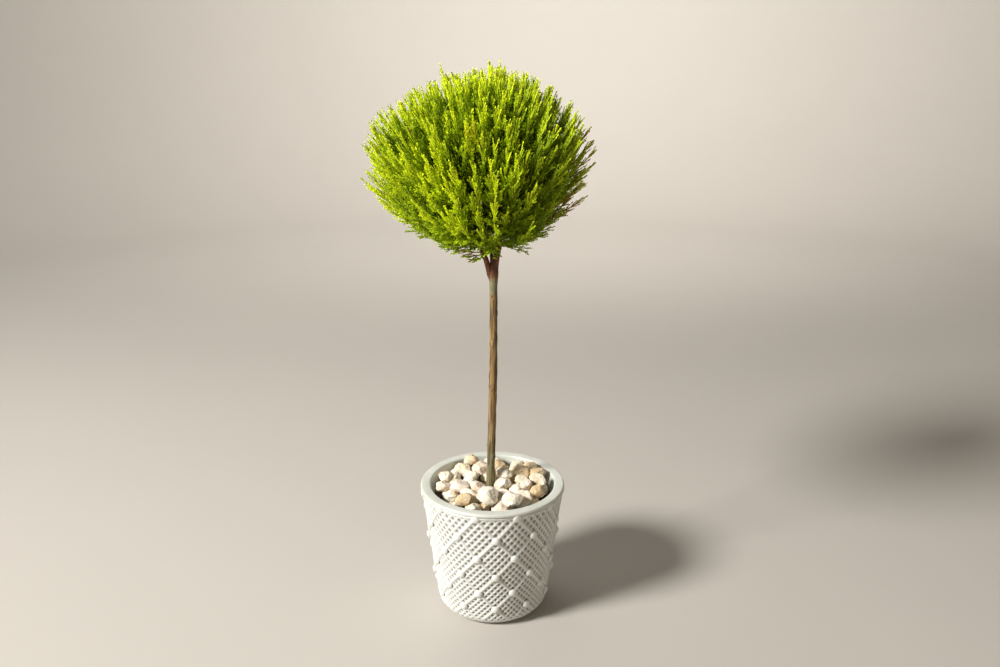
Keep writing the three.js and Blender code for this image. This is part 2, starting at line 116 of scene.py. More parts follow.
# Crown, as the part's source has it
crown_middle = np.array([-16, 0, 546]) * mm  # the widest level
crown_radius = 121 * mm
crown_rise = 82 * mm  # from the widest level to the top
crown_drop = 123 * mm  # from the widest level to the lowest sprays
crown_squareness = 1.8  # 2 is an ellipse, less is more pointed
crown_unevenness = 0.03
shoot_source = np.array([0, 0, 435]) * mm  # the plumes point away from here
top_bias = 1.25  # over 1 sets the plumes closer together on top
furthest_share = 1.04  # no clipped side shoot ends further out than this share of the outline
side_twist = 0.6  # radians from each pair of side shoots to the next
golden_turn = math.pi * (3 - math.sqrt(5))

# Sprays: four tints from the crown's inside out, and two for sprays that have turned
tints = ("deep", "green", "lime", "gold", "dry", "amber")
pale_tip = 0.7  # share of a shoot past which its leaves are a tint paler
turned_share = 0.5  # share of the shoots on a turned spray that have its tint
leaf_faces = np.array([[0, 1, 2], [0, 2, 3]])
most_faces = 190000

# Tips of the shoots that have outgrown the clipped ball
stray_tips = np.array([
    [-137, -20, 519], [104, -12, 530], [98, 6, 512], [-54, 10, 634], [-2, -10, 638],
    [9, 14, 637], [-118, 30, 586], [62, -40, 604], [-90, -64, 600], [40, 84, 590],
    [-62, 96, 560],
]) * mm

# Tips of the dry sprays: down the crown's right side, beside the fork and at the back
dry_tips = np.array([
    [102, -10, 568], [107, -6, 556], [109, -4, 546], [108, -12, 533], [98, -14, 512],
    [98, -10, 496], [72, -24, 482], [54, -34, 468], [-30, -28, 437], [-40, -14, 441],
    [-22, -34, 434], [92, 30, 520], [40, 96, 566],
]) * mm

# Tips of the yellow sprays on the crown's front and back
amber_tips = np.array([[-17, -106, 590], [-24, -107, 582], [30, 100, 575]]) * mm

# Camera and the colours of the lamps
camera_place = (0.009, -1.023, 0.664)
camera_pitch = 17.5  # degrees down from level
sensor_width = 36
white_light = (1, 0.98, 0.94)
warm_light = (1, 0.68, 0.4)
sky_colour = (1, 0.93, 0.82, 1)

up = np.array([0.0, 0.0, 1.0])


# Settings that a user would change

class PotSettings(bpy.types.PropertyGroup):
    glaze: FloatVectorProperty(
        name="Glaze", description="Colour of the pot's glaze",
        subtype="COLOR", default=(0.73, 0.74, 0.71), min=0, max=1)
    # Colour of the painted shade in the pits and beside the ribs
    shade: FloatVectorProperty(
        name="Painted pit shade", description="Colour of the painted shade in the pits and beside the ribs",
        subtype="COLOR", default=(0.11, 0.105, 0.07), min=0, max=1)
    rim_tint: FloatVectorProperty(
        name="Rim tint", description="Greener glaze on the rim",
        subtype="COLOR", default=(0.44, 0.47, 0.39), min=0, max=1)
    pits_across: IntProperty(
        name="Pits across", description="Pits along each side of a diamond",
        default=5, min=2, max=8)
    pit_depth: FloatProperty(
        name="Pit depth", description="How deep the pits are pressed in",
        unit="LENGTH", default=2.1 * mm, min=0, max=3 * mm)
    rib_height: FloatProperty(
        name="Rib height", description="How far the ribs stand out of the diamonds",
        unit="LENGTH", default=0.4 * mm, min=0, max=3 * mm)
    knob_radius: FloatProperty(
        name="Knob radius", description="Radius of the knobs where two ribs cross",
        unit="LENGTH", default=5.2 * mm, min=1 * mm, max=8 * mm)
    knob_height: FloatProperty(
        name="Knob height", description="How far the knobs stand out of the diamonds",
        unit="LENGTH", default=3.3 * mm, min=0, max=6 * mm)


class StoneSettings(bpy.types.PropertyGroup):
    white: FloatVectorProperty(
        name="White", description="Colour of the white chips",
        subtype="COLOR", default=(0.82, 0.79, 0.72), min=0, max=1)
    cream: FloatVectorProperty(
        name="Cream", description="Colour of the cream chips",
        subtype="COLOR", default=(0.76, 0.68, 0.50), min=0, max=1)
    pink: FloatVectorProperty(
        name="Pink", description="Colour of the pinkish chips",
        subtype="COLOR", default=(0.72, 0.58, 0.47), min=0, max=1)
    tan: FloatVectorProperty(
        name="Tan", description="Colour of the tan chips",
        subtype="COLOR", default=(0.62, 0.46, 0.27), min=0, max=1)
    sharpness: FloatProperty(
        name="Sharpness", description="Higher keeps the chips' faces flat and their edges sharp",
        default=60, min=4, max=120)
    fullness: FloatProperty(
        name="Fullness", description="Size of the chips against the solids they stand for",
        default=1.26, min=0.7, max=1.4)
    roughness_depth: FloatProperty(
        name="Surface relief", description="Depth of the dents on the chips",
        unit="LENGTH", default=1.1 * mm, min=0, max=2 * mm)


class SoilSettings(bpy.types.PropertyGroup):
    colour: FloatVectorProperty(
        name="Soil", description="Colour of the potting soil",
        subtype="COLOR", default=(0.045, 0.03, 0.018), min=0, max=1)
    crumbs: IntProperty(
        name="Crumbs", description="Loose crumbs on the soil", default=700, min=0, max=4000)


class StemSettings(bpy.types.PropertyGroup):
    bark: FloatVectorProperty(
        name="Bark", description="Main colour of the stem's bark",
        subtype="COLOR", default=(0.32, 0.195, 0.068), min=0, max=1)
    # Weathering tint: grey-green patches on the stem, also painted low down as shade at the stem's
    # foot
    old_and_shaded_bark: FloatVectorProperty(
        name="Weathered bark", description="Grey-green patches on the stem",
        subtype="COLOR", default=(0.17, 0.165, 0.085), min=0, max=1)
    crack: FloatVectorProperty(
        name="Cracks", description="Colour in the cracks of the bark",
        subtype="COLOR", default=(0.05, 0.028, 0.015), min=0, max=1)
    young_bark: FloatVectorProperty(
        name="Young bark", description="Colour of the boughs and inner limbs",
        subtype="COLOR", default=(0.15, 0.045, 0.016), min=0, max=1)
    relief: FloatProperty(
        name="Bark relief", description="Depth of the fibres and cracks",
        unit="LENGTH", default=0.5 * mm, min=0, max=2 * mm)


class CrownSettings(bpy.types.PropertyGroup):
    gold: FloatVectorProperty(
        name="Gold", description="Colour of the outermost sprays",
        subtype="COLOR", default=(0.84, 0.93, 0.022), min=0, max=1)
    lime: FloatVectorProperty(
        name="Lime", description="Colour of most sprays",
        subtype="COLOR", default=(0.64, 0.77, 0.016), min=0, max=1)
    green: FloatVectorProperty(
        name="Green", description="Colour of the sprays behind them",
        subtype="COLOR", default=(0.43, 0.57, 0.013), min=0, max=1)
    deep: FloatVectorProperty(
        name="Deep green", description="Colour of the sprays inside the crown",
        subtype="COLOR", default=(0.25, 0.36, 0.009), min=0, max=1)
    dry: FloatVectorProperty(
        name="Dry", description="Colour of dry sprays",
        subtype="COLOR", default=(0.42, 0.26, 0.03), min=0, max=1)
    amber: FloatVectorProperty(
        name="Amber", description="Colour of the few sprays that have turned yellow",
        subtype="COLOR", default=(0.92, 0.84, 0.04), min=0, max=1)
    plumes: IntProperty(
        name="Plumes", description="Sprays that reach the crown's outline",
        default=500, min=20, max=900)
    inner_plumes: IntProperty(
        name="Inner plumes", description="Sprays that end inside the crown",
        default=205, min=0, max=500)
    side_spacing: FloatProperty(
        name="Side shoot spacing",
        description="Way along a plume from one pair of side shoots to the next",
        unit="LENGTH", default=7.0 * mm, min=2 * mm, max=15 * mm)
    leaf_length: FloatProperty(
        name="Leaf length", description="Length of one awl-shaped leaf",
        unit="LENGTH", default=2.5 * mm, min=1 * mm, max=8 * mm)
    leaf_width: FloatProperty(
        name="Leaf width", description="Width of one awl-shaped leaf",
        unit="LENGTH", default=1.5 * mm, min=0.3 * mm, max=4 * mm)
    leaf_spacing: FloatProperty(
        name="Leaf spacing", description="Way along a shoot from one pair of leaves to the next",
        unit="LENGTH", default=1.8 * mm, min=0.8 * mm, max=6 * mm)


class StageSettings(bpy.types.PropertyGroup):
    floor: FloatVectorProperty(
        name="Floor", description="Colour of the floor and backdrop",
        subtype="COLOR", default=(0.5, 0.47, 0.43), min=0, max=1)
    key_power: FloatProperty(
        name="Key light", description="Power of the large light at the upper left",
        unit="POWER", default=132, min=0)
    fill_power: FloatProperty(
        name="Fill light", description="Power of the soft light at the right",
        unit="POWER", default=1.5, min=0)
    top_power: FloatProperty(
        name="Top light", description="Power of the light above and behind",
        unit="POWER", default=7, min=0)
    wall_power: FloatProperty(
        name="Wall light", description="Power of the light on the backdrop",
        unit="POWER", default=30, min=0)
    sky: FloatProperty(
        name="Sky", description="Strength of the even light all round", default=0.05, min=0)
    lens: FloatProperty(
        name="Lens", description="Focal length of the camera in millimetres",
        unit="CAMERA", default=34.2, min=10, max=200)


# Small helpers for arrays of points

def unit(vectors):
    return vectors / np.maximum(np.linalg.norm(vectors, axis=-1, keepdims=True), 1e-12)


def mix(a, b, share):
    return a + (b - a) * share


def smooth_step(low, high, value):
    t = np.clip((value - low) / (high - low), 0, 1)
    return t * t * (3 - 2 * t)


def ring_faces(rings, sides):
    """Quads between rings of points, one ring after another."""
    ring, side = np.meshgrid(np.arange(rings - 1), np.arange(sides), indexing="ij")
    following = (side + 1) % sides
    quads = [ring * sides + side, ring * sides + following,
             (ring + 1) * sides + following, (ring + 1) * sides + side]
    return np.stack(quads, axis=-1).reshape(-1, 4)


def as_triangles(quads):
    return np.concatenate([quads[:, [0, 1, 2]], quads[:, [0, 2, 3]]])


def joined(meshes):
    """Points and triangles of several meshes as one."""
    points, faces, before = [], [], 0
    for some_points, some_faces in meshes:
        points.append(some_points)
        faces.append(some_faces + before)
        before += len(some_points)
    return np.concatenate(points), np.concatenate(faces)


def node_points(name):
    """Points of a solid of the frame."""
    mesh = frame["nodes"][name].data
    points = np.empty(len(mesh.vertices) * 3, np.float32)
    mesh.vertices.foreach_get("co", points)
    return points.reshape(-1, 3).astype(float)


def make_mesh(name, points, faces, smooth=True):
    mesh = bpy.data.meshes.new(name)
    mesh.vertices.add(len(points))
    mesh.vertices.foreach_set("co", np.asarray(points, np.float32).ravel())
    mesh.loops.add(faces.size)
    mesh.loops.foreach_set("vertex_index", faces.astype(np.int32).ravel())
    mesh.polygons.add(len(faces))
    starts = np.arange(0, faces.size, faces.shape[1], dtype=np.int32)
    mesh.polygons.foreach_set("loop_start", starts)
    mesh.polygons.foreach_set("use_smooth", np.full(len(faces), smooth))
    mesh.update(calc_edges=True)
    return mesh


def add_piece(name, mesh, material, slot, replaced=()):
    """Puts a mesh in the scene as a piece that rides on the plant."""
    piece = bpy.data.objects.new(name, mesh)
    bpy.context.scene.collection.objects.link(piece)
    mesh.materials.append(material)
    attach(piece, whole_body)
    if replaced:
        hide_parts(*replaced)


def add_values(mesh, name, values):
    """Gives each point of a mesh a value that its material reads."""
    attribute = mesh.attributes.new(name, "FLOAT", "POINT")
    attribute.data.foreach_set("value", np.asarray(values, np.float32))


# Materials

def scaled(colour, factor):
    return tuple(factor * c for c in colour)


def add_node(tree, kind, inputs=None, **settings):
    node = tree.nodes.new(kind)
    for name, value in settings.items():
        setattr(node, name, value)
    for name, value in (inputs or {}).items():
        node.inputs[name].default_value = value
    return node


def new_material(name, roughness):
    material = bpy.data.materials.new(name)
    material.use_nodes = True
    tree = material.node_tree
    shader = tree.nodes["Principled BSDF"]
    shader.inputs["Roughness"].default_value = roughness
    return material, tree, shader


def noise_at(tree, scale, detail, stretch=(1, 1, 1), roughness=0.55):
    """A noise texture fixed to the object, in metres, stretched along its axes."""
    place = add_node(tree, "ShaderNodeTexCoord")
    mapping = add_node(tree, "ShaderNodeMapping", {"Scale": stretch})
    tree.links.new(place.outputs["Object"], mapping.inputs["Vector"])
    texture = add_node(
        tree, "ShaderNodeTexNoise", {"Scale": scale, "Detail": detail, "Roughness": roughness})
    tree.links.new(mapping.outputs["Vector"], texture.inputs["Vector"])
    return texture.outputs["Fac"]


def ranged(tree, value, low, high, to_low=0, to_high=1):
    node = add_node(
        tree, "ShaderNodeMapRange",
        {"From Min": low, "From Max": high, "To Min": to_low, "To Max": to_high})
    tree.links.new(value, node.inputs["Value"])
    return node.outputs["Result"]


def faded(tree, value, share):
    """A value from 0 to 1, brought down to a share at most."""
    return ranged(tree, value, 0, 1, 0, share)


def mixed(tree, factor, first, second):
    """A colour between two, which are sockets or fixed colours."""
    node = add_node(tree, "ShaderNodeMix", data_type="RGBA")
    tree.links.new(factor, node.inputs["Factor"])
    for name, colour in (("A", first), ("B", second)):
        socket = next(s for s in node.inputs if s.name == name and s.type == "RGBA")
        if isinstance(colour, bpy.types.NodeSocket):
            tree.links.new(colour, socket)
        else:
            socket.default_value = (*colour, 1)
    return next(s for s in node.outputs if s.type == "RGBA")


def stored(tree, name):
    """A value that the mesh's points carry."""
    return add_node(tree, "ShaderNodeAttribute", attribute_name=name).outputs["Fac"]


def set_colour(tree, shader, colour):
    tree.links.new(colour, shader.inputs["Base Color"])


def set_roughness(tree, shader, value, low, high):
    """Roughness that goes from low to high with a noise."""
    tree.links.new(ranged(tree, value, 0.3, 0.7, low, high), shader.inputs["Roughness"])


def add_bump(tree, shader, height, strength, distance):
    bump = add_node(tree, "ShaderNodeBump", {"Strength": strength, "Distance": distance})
    tree.links.new(height, bump.inputs["Height"])
    tree.links.new(bump.outputs["Normal"], shader.inputs["Normal"])


def pit_shade(tree):
    """1 in the middle of each pit and 0 outside it, from the pits' own coordinates: where the
    painted shade of the pits goes.
    """
    place = add_node(tree, "ShaderNodeUVMap", uv_map="pits")
    within = add_node(tree, "ShaderNodeVectorMath", operation="FRACTION")
    tree.links.new(place.outputs["UV"], within.inputs[0])
    centred = add_node(tree, "ShaderNodeVectorMath", operation="SUBTRACT")
    tree.links.new(within.outputs["Vector"], centred.inputs[0])
    centred.inputs[1].default_value = (0.5, 0.5, 0)
    away = add_node(tree, "ShaderNodeVectorMath", operation="LENGTH")
    tree.links.new(centred.outputs["Vector"], away.inputs[0])
    dark_within, clear_past = 0.18, 0.35
    return ranged(tree, away.outputs["Value"], dark_within, clear_past, 1, 0)


def new_glaze(name):
    """A coated glaze with faint dents, and the patches where it is greener."""
    material, tree, shader = new_material(name, 0.42)
    shader.inputs["Coat Weight"].default_value = 0.25
    shader.inputs["Coat Roughness"].default_value = 0.25
    add_bump(tree, shader, noise_at(tree, 260, 3), 0.25, 0.3 * mm)
    patches = ranged(tree, noise_at(tree, 22, 5), 0.42, 0.72)
    return material, tree, shader, patches


def wall_glaze(settings):
    """Glaze of the embossed wall, with painted shade beside the ribs and darker painted shade in the
    pits.
    """
    material, tree, shader, patches = new_glaze("pot_glaze")
    # painted shade beside the ribs and in the pits, carried by the points' values
    hollow_shade = faded(tree, stored(tree, "hollow_shade"), 0.3)
    with_hollows = mixed(tree, hollow_shade, settings.glaze, settings.shade)
    patched = mixed(tree, faded(tree, patches, 0.35), with_hollows, settings.rim_tint)
    # painted shade darkens the middle of each pit
    pitted = mixed(tree, faded(tree, pit_shade(tree), 0.7), patched, settings.shade)
    set_colour(tree, shader, pitted)
    set_roughness(tree, shader, noise_at(tree, 60, 3), 0.34, 0.52)
    return material


def rim_glaze(settings):
    """Glaze of the plain rim and the inside, greener than the wall."""
    material, tree, shader, patches = new_glaze("rim_glaze")
    greener = ranged(tree, patches, 0, 1, 0.35, 0.8)
    set_colour(tree, shader, mixed(tree, greener, settings.glaze, settings.rim_tint))
    set_roughness(tree, shader, noise_at(tree, 60, 3), 0.34, 0.52)
    return material


def smooth_glaze(settings):
    """The wall's glaze without its pits, for the knobs and the foot."""
    material, tree, shader, patches = new_glaze("smooth_glaze")
    patched = mixed(tree, faded(tree, patches, 0.35), settings.glaze, settings.rim_tint)
    set_colour(tree, shader, patched)
    return material


def stone_material(name, colour, other, stain):
    """Broken stone: two mineral colours, rusty stains in patches and fine dark specks."""
    material, tree, shader = new_material(name, 0.8)
    veins = ranged(tree, noise_at(tree, 75, 6, roughness=0.65), 0.45, 0.66)
    stains = ranged(tree, noise_at(tree, 58, 5, (1.3, 1, 1.7), 0.6), 0.5, 0.64)
    specks = ranged(tree, noise_at(tree, 520, 3), 0.6, 0.74)
    mottled = mixed(tree, veins, colour, other)
    stained = mixed(tree, faded(tree, stains, 0.8), mottled, stain)
    specked = mixed(tree, faded(tree, specks, 0.35), stained, scaled(colour, 0.55))
    set_colour(tree, shader, specked)
    set_roughness(tree, shader, noise_at(tree, 150, 4), 0.65, 0.95)
    add_bump(tree, shader, noise_at(tree, 300, 6, roughness=0.7), 0.6, 0.6 * mm)
    return material


def soil_material(settings):
    """Damp, dark soil with paler crumbs."""
    material, tree, shader = new_material("damp_soil", 0.9)
    crumbs = ranged(tree, noise_at(tree, 340, 6, roughness=0.7), 0.4, 0.7)
    set_colour(tree, shader, mixed(tree, crumbs, settings.colour, scaled(settings.colour, 2.6)))
    add_bump(tree, shader, noise_at(tree, 600, 5), 0.8, 0.8 * mm)
    return material


def bark_material(settings):
    """Fibrous bark with blotches and flecks, greyed by weathering low down, where the grey-green
    tint also stands for painted shade, and red under the fork.
    """
    material, tree, shader = new_material("stem_bark", 0.85)
    bark = settings.bark
    fibres = noise_at(tree, 260, 5, (1, 1, 0.09), 0.65)
    patches = ranged(tree, noise_at(tree, 48, 4, (1, 1, 0.4)), 0.44, 0.62)
    flecks = ranged(tree, noise_at(tree, 210, 4, (1, 1, 0.35)), 0.57, 0.7)
    fibrous = mixed(tree, ranged(tree, fibres, 0.4, 0.6), scaled(bark, 0.36), bark)
    blotched = mixed(tree, faded(tree, patches, 0.55), fibrous, scaled(bark, 0.6))
    # grey-green weathering patches, which low down on the stem are also painted shade
    weathered_and_shaded = mixed(tree, stored(tree, "weathered_and_shaded"), blotched, settings.old_and_shaded_bark)
    flecked = mixed(tree, faded(tree, flecks, 0.7), weathered_and_shaded, scaled(bark, 1.5))
    reddened = mixed(tree, stored(tree, "young"), flecked, settings.young_bark)
    cracked = mixed(tree, stored(tree, "crack"), reddened, settings.crack)
    set_colour(tree, shader, cracked)
    set_roughness(tree, shader, fibres, 0.95, 0.7)
    add_bump(tree, shader, fibres, 0.6, 0.5 * mm)
    return material


def young_bark_material(name, colour):
    """Reddish bark that flakes along the limb, paler where it has flaked."""
    material, tree, shader = new_material(name, 0.7)
    fibres = noise_at(tree, 420, 4, (1, 1, 0.3))
    flakes = ranged(tree, noise_at(tree, 230, 5, (1, 1, 0.35), 0.6), 0.52, 0.64)
    fibrous = mixed(tree, ranged(tree, fibres, 0.35, 0.66), scaled(colour, 0.4), colour)
    set_colour(tree, shader, mixed(tree, flakes, fibrous, scaled(colour, 1.9)))
    add_bump(tree, shader, fibres, 0.6, 0.5 * mm)
    return material


def leaf_material(name, colour):
    """One plain tint, dealt out spray by spray."""
    material, tree, shader = new_material(name, 0.5)
    shader.inputs["Base Color"].default_value = (*colour, 1)
    shader.inputs["Specular IOR Level"].default_value = 0.35
    set_roughness(tree, shader, noise_at(tree, 900, 2), 0.42, 0.65)
    return material


def floor_material(settings):
    """The plain pale floor, with clouds a little paler."""
    material, tree, shader = new_material("pale_floor", 0.7)
    clouds = noise_at(tree, 3, 4)
    set_colour(tree, shader, mixed(tree, clouds, settings.floor, scaled(settings.floor, 1.04)))
    return material


# Pot

wall_taper = (rim_radius - foot_radius) / pot_height
wall_lean = math.atan(wall_taper)
rounding_centre = (
    foot_radius + wall_taper * foot_rounding - foot_rounding / math.cos(wall_lean),
    foot_rounding,
)
straight_end = foot_rounding * (1 - math.sin(wall_lean))
straight_length = (lattice_top - straight_end) / math.cos(wall_lean)


def wall_radius(z):
    return foot_radius + wall_taper * z


def inner_radius(z):
    return wall_radius(z) - rim_width


def wall_points(down, relief):
    """Radius and height on the wall's outline, at a way down from the lattice's top."""
    z = lattice_top - down * math.cos(wall_lean)
    turn = wall_lean + np.maximum(down - straight_length, 0) / foot_rounding
    curved = down > straight_length
    reach = foot_rounding + relief
    radius = np.where(
        curved, rounding_centre[0] + reach * np.cos(turn),
        wall_radius(z) + relief * math.cos(wall_lean))
    height = np.where(
        curved, rounding_centre[1] - reach * np.sin(turn),
        z - relief * math.sin(wall_lean))
    return radius, height


def row_down(row):
    """Way down the wall at a row of the lattice, whole rows being rows of knobs."""
    return first_row * (1 - row_ratio**row) / (1 - row_ratio)


def turned_points(radius, height, column):
    angle = np.radians(lattice_turn + (column - 1) * 180 / diamonds_round)
    places = np.broadcast_arrays(radius * np.sin(angle), -radius * np.cos(angle), height)
    return np.stack(places, axis=-1)


def diamond_stops(pits_across):
    """Shares across a diamond: the rib, the steps over each pit, and the next rib."""
    rib = rib_share * np.array([0, 0.35, 0.7])
    panel = np.linspace(rib_share, 1 - rib_share, pit_steps * pits_across + 1)
    return np.concatenate([rib, panel, 1 - rib[::-1]])


def pit_places(stops, pits_across):
    return np.clip((stops - rib_share) / (1 - 2 * rib_share), 0, 1) * pits_across


def diamond_relief(a, b, row, settings):
    """Height of ribs and pits over a diamond's sunk face, and how much painted shade each place
    gets.
    """
    rib_roundness, pit_roundness, shadow_width = 2.4, 1.05, 0.4
    from_rib = np.minimum(np.minimum(a, 1 - a), np.minimum(b, 1 - b)) / rib_share
    ribs = np.clip(1 - from_rib**rib_roundness, 0, 1)
    u = pit_places(a, settings.pits_across)
    v = pit_places(b, settings.pits_across)
    pits = np.abs(np.sin(math.pi * u) * np.sin(math.pi * v)) ** pit_roundness
    fade = smooth_step(0, 0.1, row) * smooth_step(0, 0.6, lattice_rows - row)
    relief = fade * (settings.rib_height * ribs - settings.pit_depth * pits)
    # painted shade: a band beside each rib and the pits, where the glaze is darkened
    beside_rib = np.clip(1 - np.abs(from_rib - 1) / shadow_width, 0, 1)
    return relief, np.maximum(beside_rib, pits) * fade


def diamond_triangles(last):
    """Triangles of a diamond's grid, and which of them lie in its upper half."""
    i, j = (grid.ravel() for grid in np.meshgrid(np.arange(last), np.arange(last), indexing="ij"))
    corner = i * (last + 1) + j
    upper = np.stack([corner, corner + 1, corner + last + 1], axis=-1)
    lower = np.stack([corner + last + 1, corner + 1, corner + last + 2], axis=-1)
    in_upper_half = np.concatenate([i + j < last, i + j < last - 1])
    return np.concatenate([upper, lower]), in_upper_half


def lattice_mesh(settings):
    """The pot's embossed wall: ribs and pits on a grid that follows each diamond."""
    stops = diamond_stops(settings.pits_across)
    a, b = (grid.ravel() for grid in np.meshgrid(stops, stops, indexing="ij"))
    triangles, in_upper_half = diamond_triangles(len(stops) - 1)
    places = np.stack([pit_places(side, settings.pits_across) for side in (a, b)], axis=-1)
    meshes, pits, hollows = [], [], []
    for row in range(-1, lattice_rows):
        shown = triangles
        if row < 0:
            shown = triangles[~in_upper_half]
        elif row == lattice_rows - 1:
            shown = triangles[in_upper_half]
        at_row = np.clip(row + a + b, 0, lattice_rows)
        relief, hollow_shade = diamond_relief(a, b, at_row, settings)
        radius, height = wall_points(row_down(at_row), relief - panel_inset)
        for diamond in range(diamonds_round):
            column = 2 * diamond + row % 2 + a - b
            meshes.append((turned_points(radius, height, column), shown))
            pits.append(places)
            hollows.append(hollow_shade)
    points, faces = joined(meshes)
    mesh = make_mesh("pot_wall", points, faces)
    add_values(mesh, "hollow_shade", np.concatenate(hollows))
    layer = mesh.uv_layers.new(name="pits")
    corners = np.concatenate(pits)[faces.ravel()]
    layer.data.foreach_set("uv", corners.astype(np.float32).ravel())
    weld(mesh)
    return mesh


def weld(mesh):
    """Joins neighbouring diamonds at their shared ribs and drops unused points."""
    joined_within = 0.01 * mm
    edit = bmesh.new()
    edit.from_mesh(mesh)
    unused = [v for v in edit.verts if not v.link_faces]
    bmesh.ops.delete(edit, geom=unused, context="VERTS")
    bmesh.ops.remove_doubles(edit, verts=edit.verts, dist=joined_within)
    edit.to_mesh(mesh)
    edit.free()


def lathe_rings(profile, sides):
    """Points and quads of a profile of radii and heights, turned round the upright axis."""
    radius, height = np.array(profile).T
    angle = np.linspace(0, 2 * math.pi, sides, endpoint=False)
    points = np.stack([
        radius[:, None] * np.sin(angle), -radius[:, None] * np.cos(angle),
        np.repeat(height[:, None], sides, axis=1),
    ], axis=-1)
    return points.reshape(-1, 3), ring_faces(len(profile), sides)


def lip_arc(centre_radius, first, last):
    """A quarter of the lip's rounding, from one turn to another."""
    steps = 7
    return [
        (centre_radius + lip_rounding * math.cos(turn),
         pot_height - lip_rounding * (1 - math.sin(turn)))
        for turn in np.linspace(first, last, steps)
    ]


def rim_mesh():
    """The plain band with its groove, the rounded lip, the inner wall and the floor."""
    lattice_end = wall_radius(lattice_top) - panel_inset
    groove = wall_radius(groove_height)
    under_lip = pot_height - 6 * mm
    floor_edge = pot_floor + floor_slope
    profile = [
        (lattice_end - 0.3 * mm, lattice_top - 0.6 * mm),
        (lattice_end, lattice_top),
        (groove - 0.5 * mm, groove_height - 1.7 * mm),
        (groove - 0.2 * mm, groove_height - 1.1 * mm),
        (groove - 0.4 * mm, groove_height - 0.7 * mm),
        (groove - groove_depth, groove_height - 0.3 * mm),
        (groove - groove_depth, groove_height + 0.3 * mm),
        (rim_radius - 0.7 * mm, groove_height + 0.8 * mm),
        (rim_radius - 0.1 * mm, groove_height + 1.4 * mm),
        *lip_arc(rim_radius - lip_rounding, 0, math.pi / 2),
        *lip_arc(rim_radius - rim_width + lip_rounding, math.pi / 2, math.pi),
        (inner_radius(under_lip), under_lip),
        (inner_radius(soil_level), soil_level),
        (inner_radius(floor_edge), floor_edge),
        (inner_radius(pot_floor) - floor_slope, pot_floor),
        (open_middle, pot_floor),
    ]
    points, faces = lathe_rings(profile, pot_sides)
    return make_mesh("pot_rim", points, faces)


def foot_mesh():
    """The rounding under the lattice and the flat underside."""
    steps, flat_radius = 6, 3 * mm
    foot_end = straight_length + (math.pi / 2 - wall_lean) * foot_rounding
    downs = np.linspace(row_down(lattice_rows), foot_end, steps)
    reliefs = np.linspace(-panel_inset, 0, steps)
    radius, height = wall_points(downs, reliefs)
    profile = [*zip(radius, np.maximum(height, 0)), (flat_radius, 0), (open_middle, 0)]
    points, faces = lathe_rings(profile, pot_sides)
    return make_mesh("pot_foot", points, faces[:, ::-1])


def knob_mesh(settings):
    """Round knobs where the ribs cross, each a cap laid on the wall, lower in the top row."""
    sides, rings = 18, 7
    narrowest, steepness, sunk, top_row_share = 0.02, 0.98, 0.3 * mm, 0.6
    share = np.linspace(1, narrowest, rings)[:, None]
    turn = np.linspace(0, 2 * math.pi, sides, endpoint=False)[None, :]
    across = settings.knob_radius * share * np.sin(turn)
    down = settings.knob_radius * share * np.cos(turn)
    relief = settings.knob_height * np.sqrt(1 - steepness * share**2) - sunk
    faces = as_triangles(ring_faces(rings, sides))[:, ::-1]
    meshes = []
    for row in range(lattice_rows):
        standing = (relief if row else top_row_share * relief) - panel_inset
        for diamond in range(diamonds_round):
            column = 2 * diamond + row % 2
            radius, height = wall_points(row_down(row) + down, standing)
            aside = np.degrees(across / radius) * diamonds_round / 180
            points = turned_points(radius, height, column + aside)
            meshes.append((points.reshape(-1, 3), faces))
    points, faces = joined(meshes)
    return make_mesh("pot_knobs", points, faces)


class MakePot(bpy.types.Operator):
    """Make the ceramic pot with its embossed lattice, knobs and rim"""

    bl_idname = "cypress_standard.make_pot"
    bl_label = "Pot"

    def execute(self, context):
        settings = context.scene.cypress_pot
        smooth = smooth_glaze(settings)
        add_piece("pot_wall", lattice_mesh(settings), wall_glaze(settings), "ceramic", ["pot"])
        add_piece("pot_knobs", knob_mesh(settings), smooth, "ceramic", ["pot"])
        add_piece("pot_rim", rim_mesh(), rim_glaze(settings), "ceramic", ["pot"])
        add_piece("pot_foot", foot_mesh(), smooth, "ceramic", ["pot"])
        return {"FINISHED"}


# Pebbles

def round_ball(subdivisions):
    edit = bmesh.new()
    bmesh.ops.create_icosphere(edit, subdivisions=subdivisions, radius=1)
    points = np.array([v.co[:] for v in edit.verts])
    faces = np.array([[v.index for v in face.verts] for face in edit.faces])
    edit.free()
    return unit(points), faces


def hull_planes(name):
    """A chip's middle, the outward normals of its faces, and how far out those lie."""
    decimals, least = 2, 0.5 * mm
    mesh = frame["nodes"][name].data
    middle = node_points(name).mean(axis=0)
    facing = np.round([face.normal[:] for face in mesh.polygons], decimals)
    facing, index = np.unique(facing, axis=0, return_index=True)
    normals = unit(facing)
    centres = np.array([mesh.polygons[int(i)].center[:] for i in index])
    distance = np.einsum("ij,ij->i", normals, centres - middle)
    return middle, normals, np.maximum(distance, least)


